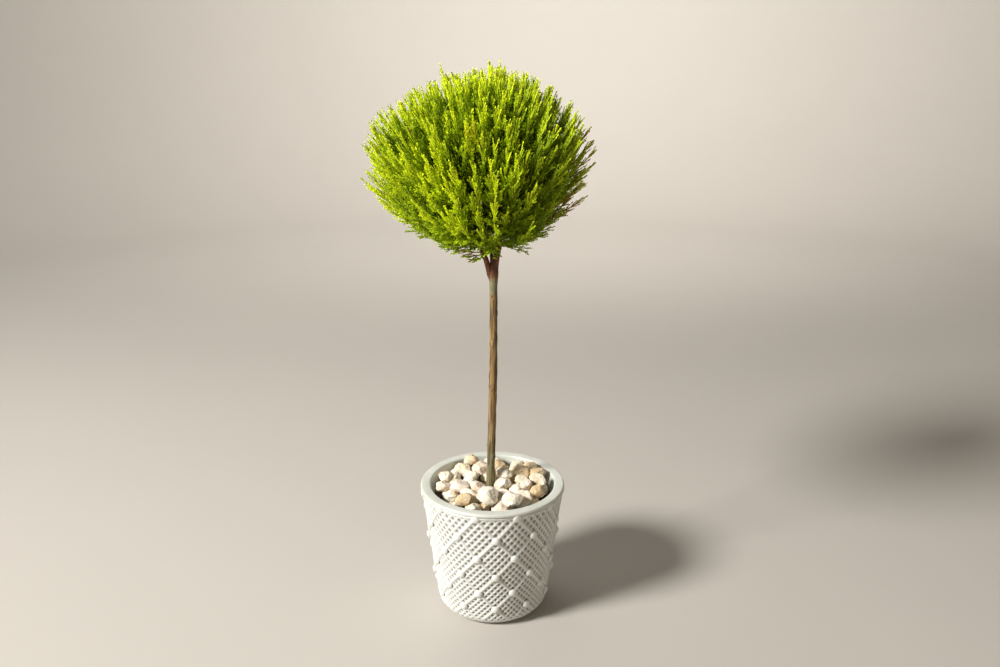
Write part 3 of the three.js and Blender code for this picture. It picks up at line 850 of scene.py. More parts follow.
def chip_mesh(name, ball, settings, random):
    """A broken chip: the hull's faces and a few larger breaks, with edges rounded by wear, and
    dents.
    """
    break_count, sharp_past = 6, math.radians(27)
    directions, faces = ball
    middle, normals, distance = hull_planes(name)
    breaks = unit(random.normal(size=(break_count, 3)))
    furthest = ((node_points(name) - middle) @ breaks.T).max(axis=0)
    normals = np.concatenate([normals, breaks])
    distance = np.concatenate([distance, furthest * random.uniform(0.6, 0.86, break_count)])
    facing = np.clip(directions @ normals.T, 0, None) / distance
    sharpness = settings.sharpness * random.uniform(0.6, 1.4)
    nearest = facing.max(axis=1, keepdims=True)
    together = ((facing / nearest) ** sharpness).sum(axis=1)
    reach = 1 / (nearest[:, 0] * np.minimum(together, 2.5) ** (1 / sharpness))
    offset = Vector(random.uniform(-50, 50, 3))
    dents = np.array([
        abs(noise.fractal(Vector(d) * 2.2 + offset, 0.75, 2.1, 5))
        + 0.9 * (1 - noise.voronoi(Vector(d) * 2.4 + offset)[0][0]) ** 2
        for d in directions
    ])
    with_hollows = reach * settings.fullness - settings.roughness_depth * dents
    points = middle + directions * with_hollows[:, None]
    mesh = make_mesh(name.replace("pebble", "chip"), points, faces)
    mesh.set_sharp_from_angle(angle=sharp_past)
    return mesh


class MakePebbles(bpy.types.Operator):
    """Make the worn stone chips that cover the soil"""

    bl_idname = "cypress_standard.make_pebbles"
    bl_label = "Pebbles"

    def execute(self, context):
        settings = context.scene.cypress_stones
        white, cream, pink, tan = (
            settings.white, settings.cream, settings.pink, settings.tan)
        ochre = scaled(tan, 0.72)
        kinds = {
            "pebble_white": stone_material("white_stone", white, cream, tan),
            "pebble_cream": stone_material("cream_stone", cream, white, ochre),
            "pebble_pink": stone_material("pink_stone", pink, white, cream),
            "pebble_tan": stone_material("tan_stone", tan, cream, ochre),
        }
        slots = {part["node"]: part["material_slot"] for part in frame["record"]["subparts"]}
        random = np.random.default_rng(11)
        ball = round_ball(4)
        for name in sorted(n for n in frame["nodes"] if n.startswith("pebble_")):
            mesh = chip_mesh(name, ball, settings, random)
            add_piece(mesh.name, mesh, kinds[slots[name]], slots[name], [name])
        return {"FINISHED"}


# Soil

def soil_mesh():
    """The soil's body, with a lumpy top."""
    gap, sides, top_rings = 0.6 * mm, 120, 40
    bottom = pot_floor + 0.3 * mm
    bend = pot_floor + floor_slope
    body = [
        (open_middle, bottom),
        (inner_radius(bottom) - floor_slope - gap, bottom),
        (inner_radius(bend) - gap, bend + gap),
    ]
    top_radius = inner_radius(soil_level) - gap
    top = [(top_radius * share, soil_level) for share in np.linspace(1, 0.01, top_rings)]
    points, faces = lathe_rings([*body, *top], sides)
    for point in points[len(body) * sides:]:
        lumps = noise.fractal(Vector(point) * 90, 0.9, 2, 4)
        point[2] += 0.8 * mm * lumps - 0.6 * mm
    return make_mesh("soil_bed", points, faces)


def crumb_mesh(settings):
    """Loose crumbs strewn over the soil."""
    edge_room, sunk = 4 * mm, 0.3 * mm
    random = np.random.default_rng(4)
    ball, faces = round_ball(1)
    meshes = []
    for _ in range(settings.crumbs):
        size = random.uniform(0.5, 2.2) * mm * random.uniform(0.6, 1.3, 3)
        angle = random.uniform(0, 2 * math.pi)
        out = (inner_radius(soil_level) - edge_room) * math.sqrt(random.uniform(0.02, 1))
        place = [out * math.cos(angle), out * math.sin(angle), soil_level - sunk]
        uneven = random.uniform(0.8, 1.2, (len(ball), 1))
        meshes.append((ball * size * uneven + place, faces))
    points, faces = joined(meshes)
    return make_mesh("soil_crumbs", points, faces)


class MakeSoil(bpy.types.Operator):
    """Make the potting soil with its crumbs"""

    bl_idname = "cypress_standard.make_soil"
    bl_label = "Soil"

    def execute(self, context):
        settings = context.scene.cypress_soil
        material = soil_material(settings)
        add_piece("soil_bed", soil_mesh(), material, "soil", ["potting_soil"])
        add_piece("soil_crumbs", crumb_mesh(settings), material, "soil")
        return {"FINISHED"}


# Stem and boughs

def stem_line():
    """Heights, middles and radii of the stem, read from the frame's own rings."""
    decimals, level_within = 5, 0.01 * mm
    points = node_points("trunk")
    rows = []
    for level in np.unique(np.round(points[:, 2], decimals)):
        ring = points[np.abs(points[:, 2] - level) < level_within]
        middle = (ring.min(axis=0) + ring.max(axis=0)) / 2
        radius = np.linalg.norm(ring[:, :2] - middle[:2], axis=1).max()
        rows.append((level, middle[0], middle[1], radius))
    return np.array(rows)


def bark_noise(x, y, z, across, along, shift=(0, 0, 0)):
    """Noise at a place on the bark, finer across the stem than along it."""
    return noise.noise(Vector((
        x * across + shift[0], y * across + shift[1], z * along + shift[2])))


def bark_height(x, y, z, settings):
    """Relief of fibres, threads and lumps at a place on the stem."""
    fibres = bark_noise(x, y, z, 900, 55)
    threads = bark_noise(x, y, z, 2200, 130)
    lumps = bark_noise(x, y, z, 160, 70, (0, 0, 9))
    return settings.relief * (0.55 * fibres + 0.3 * threads + 0.9 * lumps)


def turn_between(turn, other):
    """Angle from one turn to another, at most half a turn either way."""
    return (turn - other + math.pi) % (2 * math.pi) - math.pi


def stem_scars():
    """Heights, turns and sizes of the small scars where side shoots were cut off."""
    count = 13
    low, high = soil_level + 20 * mm, fork_height - 20 * mm
    random = np.random.default_rng(8)
    return [
        (mix(low, high, (k + random.uniform(0.1, 0.9)) / count),
         random.uniform(0, 2 * math.pi), random.uniform(2.0, 3.4) * mm)
        for k in range(count)
    ]


def scar_at(turn, radius, z, scars):
    """Relief and darkness that the scars give a place on the stem."""
    relief, dark = 0.0, 0.0
    for scar_z, scar_turn, size in scars:
        if abs(z - scar_z) < 2 * size:
            side = turn_between(turn, scar_turn) * radius
            away = math.hypot((z - scar_z) / 1.4, side) / size
            relief += 0.8 * mm * math.exp(-3 * (away - 0.7) ** 2) * (away < 2)
            dark = max(dark, 0.85 * math.exp(-7 * away**2))
    return relief, dark


def stem_mesh(settings):
    """The stem with its scars and crack, and how dark and young each place is, and how much of the
    weathering tint and painted shade it gets.
    """
    rows = stem_line()
    sides, steps = 84, 520
    heights = np.linspace(rows[0, 0], rows[-1, 0] + 1.5 * mm, steps)
    middles = np.stack([np.interp(heights, rows[:, 0], rows[:, k]) for k in (1, 2)], axis=-1)
    radii = 0.94 * np.interp(heights, rows[:, 0], rows[:, 3])
    radii *= 1 + 0.1 * smooth_step(fork_height - 14 * mm, fork_height - 3 * mm, heights)
    radii *= 1 - 0.55 * smooth_step(fork_height - 2 * mm, fork_height + 2 * mm, heights)
    young = 0.9 * smooth_step(fork_height - 13 * mm, fork_height - 3 * mm, heights)
    # painted shade: the weathering tint grows towards the soil, darkening the stem's foot
    low = 1 - smooth_step(soil_level + 22 * mm, soil_level + 120 * mm, heights)
    high = smooth_step(fork_height - 34 * mm, fork_height - 20 * mm, heights)
    ends = 0.85 * np.maximum(low, high)
    opens = smooth_step(crack_low, crack_low + 5 * mm, heights)
    closes = smooth_step(crack_high - 8 * mm, crack_high, heights)
    gape = opens * (1 - closes)
    turns = np.linspace(0, 2 * math.pi, sides, endpoint=False)
    scars = stem_scars()
    points, dark, furrows, weathered_and_shaded = [], [], [], []
    for step, ((mx, my), radius, z) in enumerate(zip(middles, radii, heights)):
        wander = 0.12 * noise.noise(Vector((0, 0, z * 60)))
        for turn in turns:
            x, y = mx + radius * math.cos(turn), my + radius * math.sin(turn)
            scar_relief, scar_dark = scar_at(turn, radius, z, scars)
            side = turn_between(turn - crack_turn, wander) * radius
            opening = gape[step] * math.exp(-((side / crack_width) ** 2))
            relief = bark_height(x, y, z, settings) + scar_relief - crack_depth * opening
            reach = radius + relief
            points.append((mx + reach * math.cos(turn), my + reach * math.sin(turn), z))
            dark.append(max(scar_dark, opening))
            furrows.append(bark_noise(x, y, z, 800, 40, (5, 0, 0)))
            weathered_and_shaded.append(ends[step] + 0.35 * bark_noise(x, y, z, 120, 45))
    mesh = make_mesh("stem", np.array(points), ring_faces(steps, sides))
    add_values(mesh, "crack", np.maximum(dark, 0.85 * smooth_step(0.14, 0.42, np.array(furrows))))
    add_values(mesh, "young", np.repeat(young, sides))
    add_values(mesh, "weathered_and_shaded", np.clip(weathered_and_shaded, 0, 0.9))
    return mesh


def bough_curve(name):
    """A bough's middle line: it rises inside the stem before it leans out."""
    return tuple(np.array([place]) * mm for place in boughs[name]["line"])


def bough_mesh(name):
    """A bough that grows out of the stem, with ridges along it and a swelling at its foot."""
    thick, thin = boughs[name]["thick"] * mm, boughs[name]["thin"] * mm
    sides, steps = 48, 80
    points, _ = tube_mesh(bough_curve(name), thick, thin, sides, steps)
    points = points[:-1].reshape(steps + 1, sides, 3)
    centres = points.mean(axis=1, keepdims=True)
    outward = points - centres
    for step in range(steps + 1):
        along = step / steps
        swelling = 0.16 * math.exp(-((along - 0.36) / 0.12) ** 2)
        foot = 0.6 + 0.4 * smooth_step(0, 0.25, along) + swelling
        for side in range(sides):
            place = points[step, side]
            ridges = bark_noise(*place, 900, 120)
            threads = bark_noise(*place, 2400, 260)
            lumps = bark_noise(*place, 240, 200)
            outward[step, side] *= foot + 0.09 * ridges + 0.05 * threads + 0.12 * lumps
    points = (centres + outward).reshape(-1, 3)
    return make_mesh(name + "_bark", points, ring_faces(steps + 1, sides))


class MakeStem(bpy.types.Operator):
    """Make the bare stem and the three boughs, with the relief of their bark"""

    bl_idname = "cypress_standard.make_stem"
    bl_label = "Stem and boughs"

    def execute(self, context):
        settings = context.scene.cypress_stem
        add_piece("stem", stem_mesh(settings), bark_material(settings), "bark", ["trunk"])
        young = young_bark_material("young_bark", settings.young_bark)
        for name in boughs:
            add_piece(name + "_bark", bough_mesh(name), young, "young_bark", [name])
        return {"FINISHED"}


# Curves kept as arrays of start, middle and end points

def curve_points(curves, along):
    start, middle, end = curves
    t = np.asarray(along)[..., None]
    return (1 - t) ** 2 * start + 2 * t * (1 - t) * middle + t * t * end


def curve_headings(curves, along):
    start, middle, end = curves
    t = np.asarray(along)[..., None]
    return unit((1 - t) * (middle - start) + t * (end - middle))


def chosen(curves, which):
    return tuple(points[which] for points in curves)


def curve_lengths(curves):
    start, middle, end = curves
    polygon = np.linalg.norm(middle - start, axis=-1) + np.linalg.norm(end - middle, axis=-1)
    return (np.linalg.norm(end - start, axis=-1) + polygon) / 2


def axes_across(headings):
    """Two directions square to each heading, the first one level where it can be."""
    steep_under = 0.2
    flat = np.cross(up, headings)
    steep = np.linalg.norm(flat, axis=-1) < steep_under
    flat[steep] = np.cross([1.0, 0.0, 0.0], headings[steep])
    side = unit(flat)
    return side, np.cross(headings, side)


def tube_mesh(curves, thick, thin, sides, steps):
    """Tapering tubes along many curves, each closed to a point at its end."""
    start, _, end = curves
    count = len(start)
    thick, thin = (np.broadcast_to(radius, count) for radius in (thick, thin))
    side, _ = axes_across(unit(end - start))
    along = np.linspace(0, 1, steps + 1)
    spread = tuple(points[:, None] for points in curves)
    centres = curve_points(spread, along[None, :])
    headings = curve_headings(spread, np.broadcast_to(along, (count, steps + 1)))
    across = side[:, None] - (side[:, None] * headings).sum(-1, keepdims=True) * headings
    across = unit(across)
    over = np.cross(headings, across)
    radius = thick[:, None] + (thin - thick)[:, None] * along
    turn = np.linspace(0, 2 * math.pi, sides, endpoint=False)
    ways = np.cos(turn)[:, None] * across[:, :, None] + np.sin(turn)[:, None] * over[:, :, None]
    rings = centres[:, :, None] + radius[:, :, None, None] * ways
    tips = end + headings[:, -1] * thin[:, None]
    points = np.concatenate([rings.reshape(count, -1, 3), tips[:, None]], axis=1)
    last_ring = steps * sides + np.arange(sides)
    tip = np.full(sides, (steps + 1) * sides)
    closing = np.stack([last_ring, np.roll(last_ring, -1), tip], axis=-1)
    faces = np.concatenate([as_triangles(ring_faces(steps + 1, sides)), closing])
    before = np.arange(count) * ((steps + 1) * sides + 1)
    return points.reshape(-1, 3), (faces[None] + before[:, None, None]).reshape(-1, 3)


# Crown outline, as the part's source has it

def outline_points(directions, share):
    """Points in given directions, at a share of the way out to the clipped outline."""
    x, y, z = directions.T
    level = np.hypot(x, y)
    power = crown_squareness
    reach = (level**power + np.abs(z) ** power) ** (-1 / power)
    wave = np.sin(3 * x + 5 * z) * np.cos(4 * y + 2 * z)
    size = share * reach * (1 + crown_unevenness * wave)
    rise = size * z
    height = np.where(z > 0, crown_rise, crown_drop)
    return np.stack([
        crown_middle[0] * (1 - rise**2) + size * crown_radius * x,
        crown_middle[1] + size * crown_radius * y,
        crown_middle[2] + height * rise,
    ], axis=-1)


def share_of_outline(points):
    """How far each point lies out of the crown's middle, 1 being the outline."""
    rise = points[:, 2] - crown_middle[2]
    z = rise / np.where(rise > 0, crown_rise, crown_drop)
    x = (points[:, 0] - crown_middle[0] * (1 - z**2)) / crown_radius
    y = (points[:, 1] - crown_middle[1]) / crown_radius
    power = crown_squareness
    return (np.hypot(x, y) ** power + np.abs(z) ** power) ** (1 / power)


def spread_directions(count, random):
    """Evenly spread directions, closer together on top."""
    i = np.arange(count)
    down = ((i + 0.5) / count) ** top_bias
    height = np.clip(1 - 2 * down + 0.05 * (random.random(count) - 0.5), -1, 1)
    level = np.sqrt(1 - height**2)
    angle = golden_turn * i + 0.3 * (random.random(count) - 0.5)
    return np.stack([level * np.cos(angle), level * np.sin(angle), height], axis=-1)


def near_limb(points):
    """True beside the bare limbs under the crown, where no spray grows."""
    away = np.hypot(points[:, 0] - bare_middle, points[:, 1])
    room = limb_clearance + clearance_slope * (bare_top - points[:, 2])
    return (away < room) & (points[:, 2] < bare_top)


def plume_curves(tips, length, sag):
    """Shoots that point away from a place over the fork and end at their tips."""
    longest_share = 0.85
    back = shoot_source - tips
    way = np.minimum(length / np.linalg.norm(back, axis=-1), longest_share)
    root = tips + back * way[:, None]
    middle = (root + tips) / 2 - up * sag[:, None]
    return root, middle, tips


def rising_plumes(tips, length):
    """Plumes of which the level ones turn upward towards their tips."""
    way = unit(tips - shoot_source)
    sag = 0.2 * length * np.hypot(way[:, 0], way[:, 1])
    return plume_curves(tips, length, sag)


def turned_towards(first, second, angle):
    """Directions turned by an angle from a first one towards a second one, square to it."""
    return np.cos(angle)[:, None] * first + np.sin(angle)[:, None] * second


def numbered(pairs):
    """The curve that each pair stands on, and the pair's number there."""
    owner = np.repeat(np.arange(len(pairs)), pairs)
    order = np.arange(pairs.sum()) - np.repeat(np.cumsum(pairs) - pairs, pairs)
    return owner, order


def pair_places(curves, owner, along, turn):
    """Owners, places, feet, headings and outward directions of pairs, first all of one side."""
    owner, along = np.tile(owner, 2), np.tile(along, 2)
    turn = np.concatenate([turn, turn + math.pi])
    base = curve_points(chosen(curves, owner), along)
    heading = curve_headings(chosen(curves, owner), along)
    side, upright = axes_across(heading)
    return owner, along, base, heading, turned_towards(side, upright, turn)


def side_shoots(curves, spacing, length, angle, limits, random, first=0.06, twist=side_twist):
    """Pairs of side shoots along each curve, turned on from pair to pair.
    length and angle are ranges from the foot of the curve to its tip. Returns curves and owners."""
    last, shortenings, past_limit = 0.97, 5, 0.02
    end_lean, middle_lean = 0.8, 1.15
    pairs = np.maximum(1, np.round((1 - first) * curve_lengths(curves) / spacing)).astype(int)
    owner, order = numbered(pairs)
    steps = order + random.uniform(0.2, 0.8, len(order))
    along = first + (last - first) * steps / pairs[owner]
    turn = random.uniform(0, math.pi, len(pairs))[owner] + twist * order
    owner, along, base, heading, outward = pair_places(curves, owner, along, turn)
    count = len(owner)
    reach = mix(length[0], length[1], along) * random.uniform(0.72, 1.18, count)
    lean = np.radians(mix(angle[0], angle[1], along)) * random.uniform(0.8, 1.2, count)

    end_way = turned_towards(heading, outward, lean * end_lean)
    middle_way = turned_towards(heading, outward, lean * middle_lean)
    for _ in range(shortenings):
        end = base + reach[:, None] * end_way
        reach = np.where(share_of_outline(end) > limits[owner], 0.8 * reach, reach)
    end = base + reach[:, None] * end_way
    middle = base + 0.5 * reach[:, None] * middle_way
    inside = share_of_outline(end) < limits[owner] + past_limit
    kept = inside & ~near_limb(end) & ~near_limb(base)
    return (base[kept], middle[kept], end[kept]), owner[kept]


def leaves_along(curves, settings, random, size, first):
    """Awl-shaped leaves in crossed pairs along each curve, each leaf two faces folded at its rib.
    Every second pair leans out as a small bud. Returns the leaves' points, owners and places."""
    flat_lean, bud_lean = 14, 29
    spacing = settings.leaf_spacing * size
    pairs = np.maximum(2, np.round((1 - first) * curve_lengths(curves) / spacing)).astype(int)
    owner, order = numbered(pairs)
    along = first + (1 - first) * (order + 0.75) / pairs[owner]
    turn = random.uniform(0, math.pi, len(pairs))[owner] + order * math.pi / 2
    owner, along, base, heading, outward = pair_places(curves, owner, along, turn)
    count = len(owner)
    across = np.cross(heading, outward)
    near_tip = smooth_step(0.85, 1, along)
    bud = np.tile(order % 2, 2) * (1 - near_tip)
    lean = np.radians(mix(flat_lean, bud_lean, bud) * random.uniform(0.75, 1.3, count))
    way = turned_towards(heading, outward, lean)
    length = settings.leaf_length * size * random.uniform(0.8, 1.2, count) * mix(0.95, 1.05, bud)
    broader = mix(1, 1.15, near_tip)
    half = 0.5 * settings.leaf_width * size * random.uniform(0.85, 1.15, count) * broader
    shoulder = base + way * (0.45 * length)[:, None] - outward * (0.12 * length)[:, None]
    points = np.stack([
        base, shoulder - across * half[:, None], base + way * length[:, None],
        shoulder + across * half[:, None],
    ], axis=1)
    return points, owner, along


class Foliage:
    """Shoots and their leaves, sorted by tint, to be joined into a few pieces."""

    def __init__(self, settings, random):
        self.settings = settings
        self.random = random
        self.meshes = {tint: [] for tint in tints}

    def add_shoots(self, curves, tint_of, radius, steps, size, first):
        """Adds a thin tube along each curve, and leaves from a first share of it on."""
        leaves, owner, along = leaves_along(curves, self.settings, self.random, size, first)
        paler = (along > pale_tip) & (tint_of[owner] < tints.index("gold"))
        leaf_tint = tint_of[owner] + paler
        for index, tint in enumerate(tints):
            shoots = chosen(curves, tint_of == index)
            if len(shoots[0]):
                self.meshes[tint].append(tube_mesh(shoots, radius, 0.55 * radius, 3, steps))
            some = leaves[leaf_tint == index]
            faces = leaf_faces[None] + 4 * np.arange(len(some))[:, None, None]
            self.meshes[tint].append((some.reshape(-1, 3), faces.reshape(-1, 3)))

    def add_pieces(self):
        for tint in tints:
            material = leaf_material("leaf_" + tint, getattr(self.settings, tint))
            for number, (points, faces) in enumerate(in_pieces(self.meshes[tint])):
                name = f"foliage_{tint}_{number + 1}"
                mesh = make_mesh(name, points, faces, smooth=False)
                add_piece(name, mesh, material, "foliage", ["crown_foliage"])


def in_pieces(meshes):
    """Joins meshes up to the most faces that one piece may have."""
    points, faces = joined(meshes)
    for first in range(0, len(faces), most_faces):
        some = faces[first:first + most_faces]
        used, renumbered = np.unique(some, return_inverse=True)
        yield points[used], renumbered.reshape(-1, 3)


def tint_by_depth(curves, shade, random):
    """Tint of each shoot: golden outside and deep green inside, with painted shade that gives deeper
    tints to sprays low down and on the right.
    """
    share = share_of_outline(curve_points(curves, np.full(len(curves[0]), 0.6)))
    # painted shade: sprays low down and on the right are dealt deeper tints
    low = 1 - smooth_step(0.43, 0.54, curves[2][:, 2])
    right = smooth_step(0, 0.08, curves[2][:, 0])
    depth = (share - 0.70) / 0.30
    light = depth + 0.30 * shade - 0.7 * low - 0.4 * right + random.normal(0, 0.13, len(share))
    return np.digitize(light, [0.1, 0.45, 0.8])


def grow_plumes(foliage, curves, limit, shade, spacing, side_length, size=1.0, turned=None):
    """The source's rule carried on: side shoots on each plume, and shorter ones on those.
    limit is the share of the outline that they may reach, and shade makes a plume more golden."""
    random = foliage.random
    limits, shades = (np.broadcast_to(value, len(curves[0])) for value in (limit, shade))
    sides, plume = side_shoots(curves, spacing, side_length, (26, 14), limits, random)
    long_enough = curve_lengths(sides) > 17 * mm
    carriers = chosen(sides, long_enough)
    tips, owner = side_shoots(
        carriers, 12 * mm * size, (9 * mm * size, 5 * mm * size), (25, 20),
        limits[plume][long_enough], random, first=0.25, twist=1.4)
    tint = tint_by_depth(curves, shades, random)
    side_tint = tint_by_depth(sides, shades[plume], random)
    tip_tint = side_tint[long_enough][owner]
    if turned:
        tint, side_tint, tip_tint = (
            np.where(random.random(len(t)) < turned_share, tints.index(turned), t)
            for t in (tint, side_tint, tip_tint))
    foliage.add_shoots(curves, tint, radius=0.9 * mm, steps=6, size=size, first=0.25)
    foliage.add_shoots(sides, side_tint, radius=0.7 * mm * size, steps=2, size=size, first=0.05)
    foliage.add_shoots(tips, tip_tint, radius=0.5 * mm * size, steps=1, size=size, first=0.1)


def clear_of_limbs(curves):
    return chosen(curves, ~near_limb(curves[0]) & ~near_limb(curves[2]))


def grow_outer_plumes(foliage):
    """Plumes to the clipped outline, fewer and shorter low on the right, where it is open."""
    settings, random = foliage.settings, foliage.random
    directions = spread_directions(settings.plumes, random)
    share = random.uniform(0.9, 1.03, len(directions))
    tips = outline_points(directions, share)
    open_side = smooth_step(0.02, 0.08, tips[:, 0]) * (1 - smooth_step(0.5, 0.57, tips[:, 2]))
    pulled_in = 0.09 * open_side * smooth_step(0.43, 0.46, tips[:, 2])
    tips = outline_points(directions, share - pulled_in)
    tips = tips[random.random(len(tips)) > 0.35 * open_side]
    length = random.uniform(68, 92, len(tips)) * mm
    curves = clear_of_limbs(rising_plumes(tips, length))
    shade = random.normal(0, 0.5, len(curves[0]))
    grow_plumes(
        foliage, curves, furthest_share, shade, settings.side_spacing, (29 * mm, 10 * mm))
    return curves


def grow_strays(foliage):
    """Shoots that have outgrown the clipped ball."""
    curves = rising_plumes(stray_tips, 60 * mm)
    grow_plumes(foliage, curves, 1.12, 0.5, 7 * mm, (22 * mm, 3 * mm))
    return curves


def grow_inner_plumes(foliage):
    """Shorter plumes that end inside the crown."""
    count, random = foliage.settings.inner_plumes, foliage.random
    tips = outline_points(spread_directions(count, random), random.uniform(0.62, 0.88, count))
    length = random.uniform(45, 60, count) * mm
    curves = clear_of_limbs(rising_plumes(tips, length))
    shade = random.normal(-0.2, 0.4, len(curves[0]))
    grow_plumes(foliage, curves, 0.9, shade, 7 * mm, (24 * mm, 12 * mm), 1.6)
    return curves


def grow_core_plumes(foliage):
    """Deep green plumes round the leaders, which close the crown's middle."""
    count, random = 34, foliage.random
    tips = outline_points(spread_directions(count, random), random.uniform(0.3, 0.6, count))
    length = random.uniform(36, 50, count) * mm
    curves = rising_plumes(tips, length)
    curves = chosen(curves, ~near_limb(curves[2]))
    grow_plumes(foliage, curves, 0.8, -0.6, 8 * mm, (24 * mm, 12 * mm), 1.8)
    return curves


def grow_dry_sprays(foliage):
    """Dry sprays, nearly straight, with some of their shoots still green."""
    curves = plume_curves(dry_tips, 46 * mm, np.full(len(dry_tips), 3 * mm))
    grow_plumes(foliage, curves, 1.12, 0, 6 * mm, (18 * mm, 6 * mm), turned="dry")
    return curves


def grow_amber_sprays(foliage):
    """The few sprays that have turned yellow."""
    curves = rising_plumes(amber_tips, 44 * mm)
    grow_plumes(foliage, curves, 1.08, 0, 7 * mm, (16 * mm, 6 * mm), turned="amber")
    return curves


def leaders():
    """The boughs carried on up through the crown."""
    starts = np.concatenate([bough_curve(name)[2] for name in boughs])
    ends = np.array([[-2, -4, 592], [-66, -14, 556], [-22, 52, 566]]) * mm
    bows = np.array([[12, 0, 6], [6, 0, -12], [2, -10, -8]]) * mm
    middles = mix(starts, ends, 0.5) + bows
    return starts, middles, ends


def crown_limbs(random):
    """Limbs that leave the leaders and curve up towards the crown's outside."""
    count, slope, sag = 46, 0.75, 0.12
    ends = outline_points(spread_directions(count, random), random.uniform(0.55, 0.72, count))
    stems = leaders()
    along = np.linspace(0.02, 0.95, 40)
    places = np.concatenate([curve_points(chosen(stems, [k]), along) for k in range(len(boughs))])
    fall = ends[:, None, 2] - places[None, :, 2]
    level = np.linalg.norm(ends[:, None, :2] - places[None, :, :2], axis=-1)
    cost = level + 2 * np.abs(fall - slope * level)
    starts = places[cost.argmin(axis=1)]
    reach = np.linalg.norm(ends - starts, axis=-1)[:, None]
    return starts, mix(starts, ends, 0.55) - up * sag * reach, ends


def twigs_to(roots, headings, limbs):
    """A twig to each plume's root from the nearest place on a limb that lies lower."""
    climb_cost, bend = 3, 0.45
    along = np.linspace(0.1, 1, 16)
    places = np.concatenate([
        curve_points(chosen(limbs, [k]), along) for k in range(len(limbs[0]))])
    away = np.linalg.norm(roots[:, None] - places[None], axis=-1)
    higher = np.clip(places[None, :, 2] - roots[:, None, 2], 0, None)
    starts = places[(away + climb_cost * higher).argmin(axis=1)]
    reach = np.linalg.norm(roots - starts, axis=-1)[:, None]
    return starts, roots - bend * reach * headings, roots


def limbs_mesh(limbs, twigs):
    """The leaders, limbs and twigs as one mesh."""
    points, faces = joined([
        tube_mesh(leaders(), np.array([3.5, 2.6, 2.2]) * mm, 1.0 * mm, 10, 24),
        tube_mesh(limbs, 1.5 * mm, 0.8 * mm, 7, 12),
        tube_mesh(twigs, 0.95 * mm, 0.8 * mm, 5, 7),
    ])
    return make_mesh("crown_limbs", points, faces)


class MakeCrown(bpy.types.Operator):
    """Make the clipped crown: limbs, twigs and leafy plumes"""

    bl_idname = "cypress_standard.make_crown"
    bl_label = "Crown"

    def execute(self, context):
        random = np.random.default_rng(20)
        foliage = Foliage(context.scene.cypress_crown, random)
        groups = [
            grow_outer_plumes(foliage), grow_strays(foliage), grow_inner_plumes(foliage),
            grow_core_plumes(foliage), grow_dry_sprays(foliage), grow_amber_sprays(foliage),
        ]
        foliage.add_pieces()

        plumes = tuple(np.concatenate(parts) for parts in zip(*groups))
        roots = plumes[0]
        headings = curve_headings(plumes, np.zeros(len(roots)))
        limbs = crown_limbs(random)
        mesh = limbs_mesh(limbs, twigs_to(roots, headings, limbs))
        bark = young_bark_material("inner_bark", context.scene.cypress_stem.young_bark)
        add_piece("crown_limbs", mesh, bark, "foliage", ["crown_foliage"])
        return {"FINISHED"}


# Stage

def backdrop_mesh():
    """A round floor that curves up into a wall on every side."""
    flat, bend, top = 2.4, 1.2, 3.4
    turns = np.linspace(0, math.pi / 2, 16)
    profile = [(0.001, 0.0)]
    profile += [(flat + bend * math.sin(turn), bend * (1 - math.cos(turn))) for turn in turns]
    profile.append((flat + bend, top))
    return make_mesh("studio_floor", *lathe_rings(profile, 96))


def add_light(name, place, target, size, power, colour, spread=180):
    """A round lamp that faces a target, with its spread in degrees."""
    data = bpy.data.lights.new(name, "AREA")
    data.shape = "DISK"
    data.size = size
    data.spread = math.radians(spread)
    data.energy = power
    data.color = colour
    light = bpy.data.objects.new(name, data)
    light.location = place
    way = Vector(target) - Vector(place)
    light.rotation_euler = way.to_track_quat("-Z", "Y").to_euler()
    bpy.context.scene.collection.objects.link(light)


def add_lights(settings):
    """The key light at the upper left, a warm fill, a top light and one on the backdrop."""
    crown, wall = (-0.01, 0, 0.45), (0.2, 3.6, 0.5)
    key, fill = settings.key_power, settings.fill_power
    top, back = settings.top_power, settings.wall_power
    add_light("key_light", (-2.51, -1.47, 2.17), crown, 0.9, key, white_light, 145)
    add_light("fill_light", (1.6, -1.3, 0.9), crown, 1.6, fill, warm_light)
    add_light("top_light", (-0.4, 0.7, 2.0), crown, 1.1, top, white_light)
    add_light("wall_light", (0.2, 1.3, 2.1), wall, 1.4, back, white_light, 120)


def add_sky(strength):
    """Even light from all round."""
    world = bpy.data.worlds.new("studio_sky")
    world.use_nodes = True
    background = world.node_tree.nodes["Background"]
    background.inputs["Color"].default_value = sky_colour
    background.inputs["Strength"].default_value = strength
    bpy.context.scene.world = world


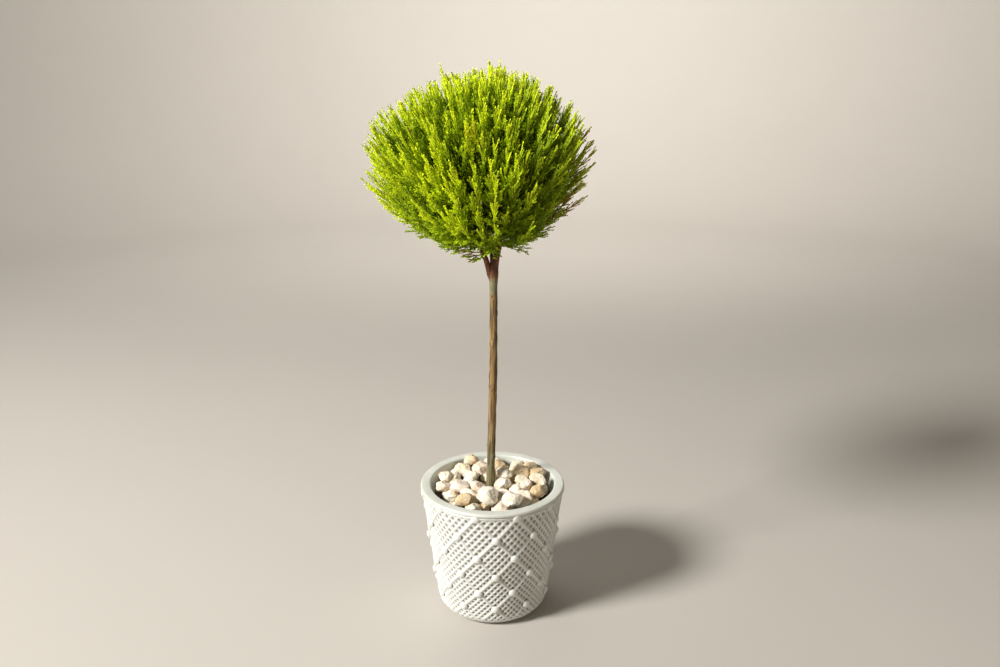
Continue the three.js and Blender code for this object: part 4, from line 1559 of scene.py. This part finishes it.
def add_camera(lens):
    data = bpy.data.cameras.new("camera")
    data.lens = lens
    data.sensor_width = sensor_width
    camera = bpy.data.objects.new("camera", data)
    camera.location = camera_place
    camera.rotation_euler = (math.radians(90 - camera_pitch), 0, 0)
    bpy.context.scene.collection.objects.link(camera)
    bpy.context.scene.camera = camera


class MakeStage(bpy.types.Operator):
    """Make the floor, the soft studio light and the camera"""

    bl_idname = "cypress_standard.make_stage"
    bl_label = "Stage"

    def execute(self, context):
        scene = context.scene
        settings = scene.cypress_stage
        mesh = backdrop_mesh()
        mesh.materials.append(floor_material(settings))
        floor = bpy.data.objects.new("studio_floor", mesh)
        scene.collection.objects.link(floor)
        add_lights(settings)
        add_sky(settings.sky)
        add_camera(settings.lens)
        scene.view_settings.view_transform = "Standard"
        return {"FINISHED"}


# Panel and registration

piece_operators = (MakePot, MakePebbles, MakeSoil, MakeStem, MakeCrown, MakeStage)
setting_groups = {
    "cypress_pot": PotSettings,
    "cypress_stones": StoneSettings,
    "cypress_soil": SoilSettings,
    "cypress_stem": StemSettings,
    "cypress_crown": CrownSettings,
    "cypress_stage": StageSettings,
}


class CypressStandardPanel(bpy.types.Panel):
    """Lists the plant's pieces and their settings"""

    bl_idname = "VIEW3D_PT_cypress_standard"
    bl_label = "Cypress standard"
    bl_space_type = "VIEW_3D"
    bl_region_type = "UI"
    bl_category = "Cypress standard"

    def draw(self, context):
        for operator, group in zip(piece_operators, setting_groups):
            box = self.layout.box()
            box.operator(operator.bl_idname)
            settings = getattr(context.scene, group)
            for name in settings.bl_rna.properties.keys():
                if name not in {"rna_type", "name"}:
                    box.prop(settings, name)


def register():
    for group in setting_groups.values():
        bpy.utils.register_class(group)
    for operator in (*piece_operators, CypressStandardPanel):
        bpy.utils.register_class(operator)
    for name, group in setting_groups.items():
        setattr(bpy.types.Scene, name, PointerProperty(type=group))


def unregister():
    for name in setting_groups:
        delattr(bpy.types.Scene, name)
    for operator in (CypressStandardPanel, *reversed(piece_operators)):
        bpy.utils.unregister_class(operator)
    for group in reversed(setting_groups.values()):
        bpy.utils.unregister_class(group)


def main():
    register()
    for operator in piece_operators:
        group, name = operator.bl_idname.split(".")
        getattr(getattr(bpy.ops, group), name)()


if __name__ == "__main__":
    main()
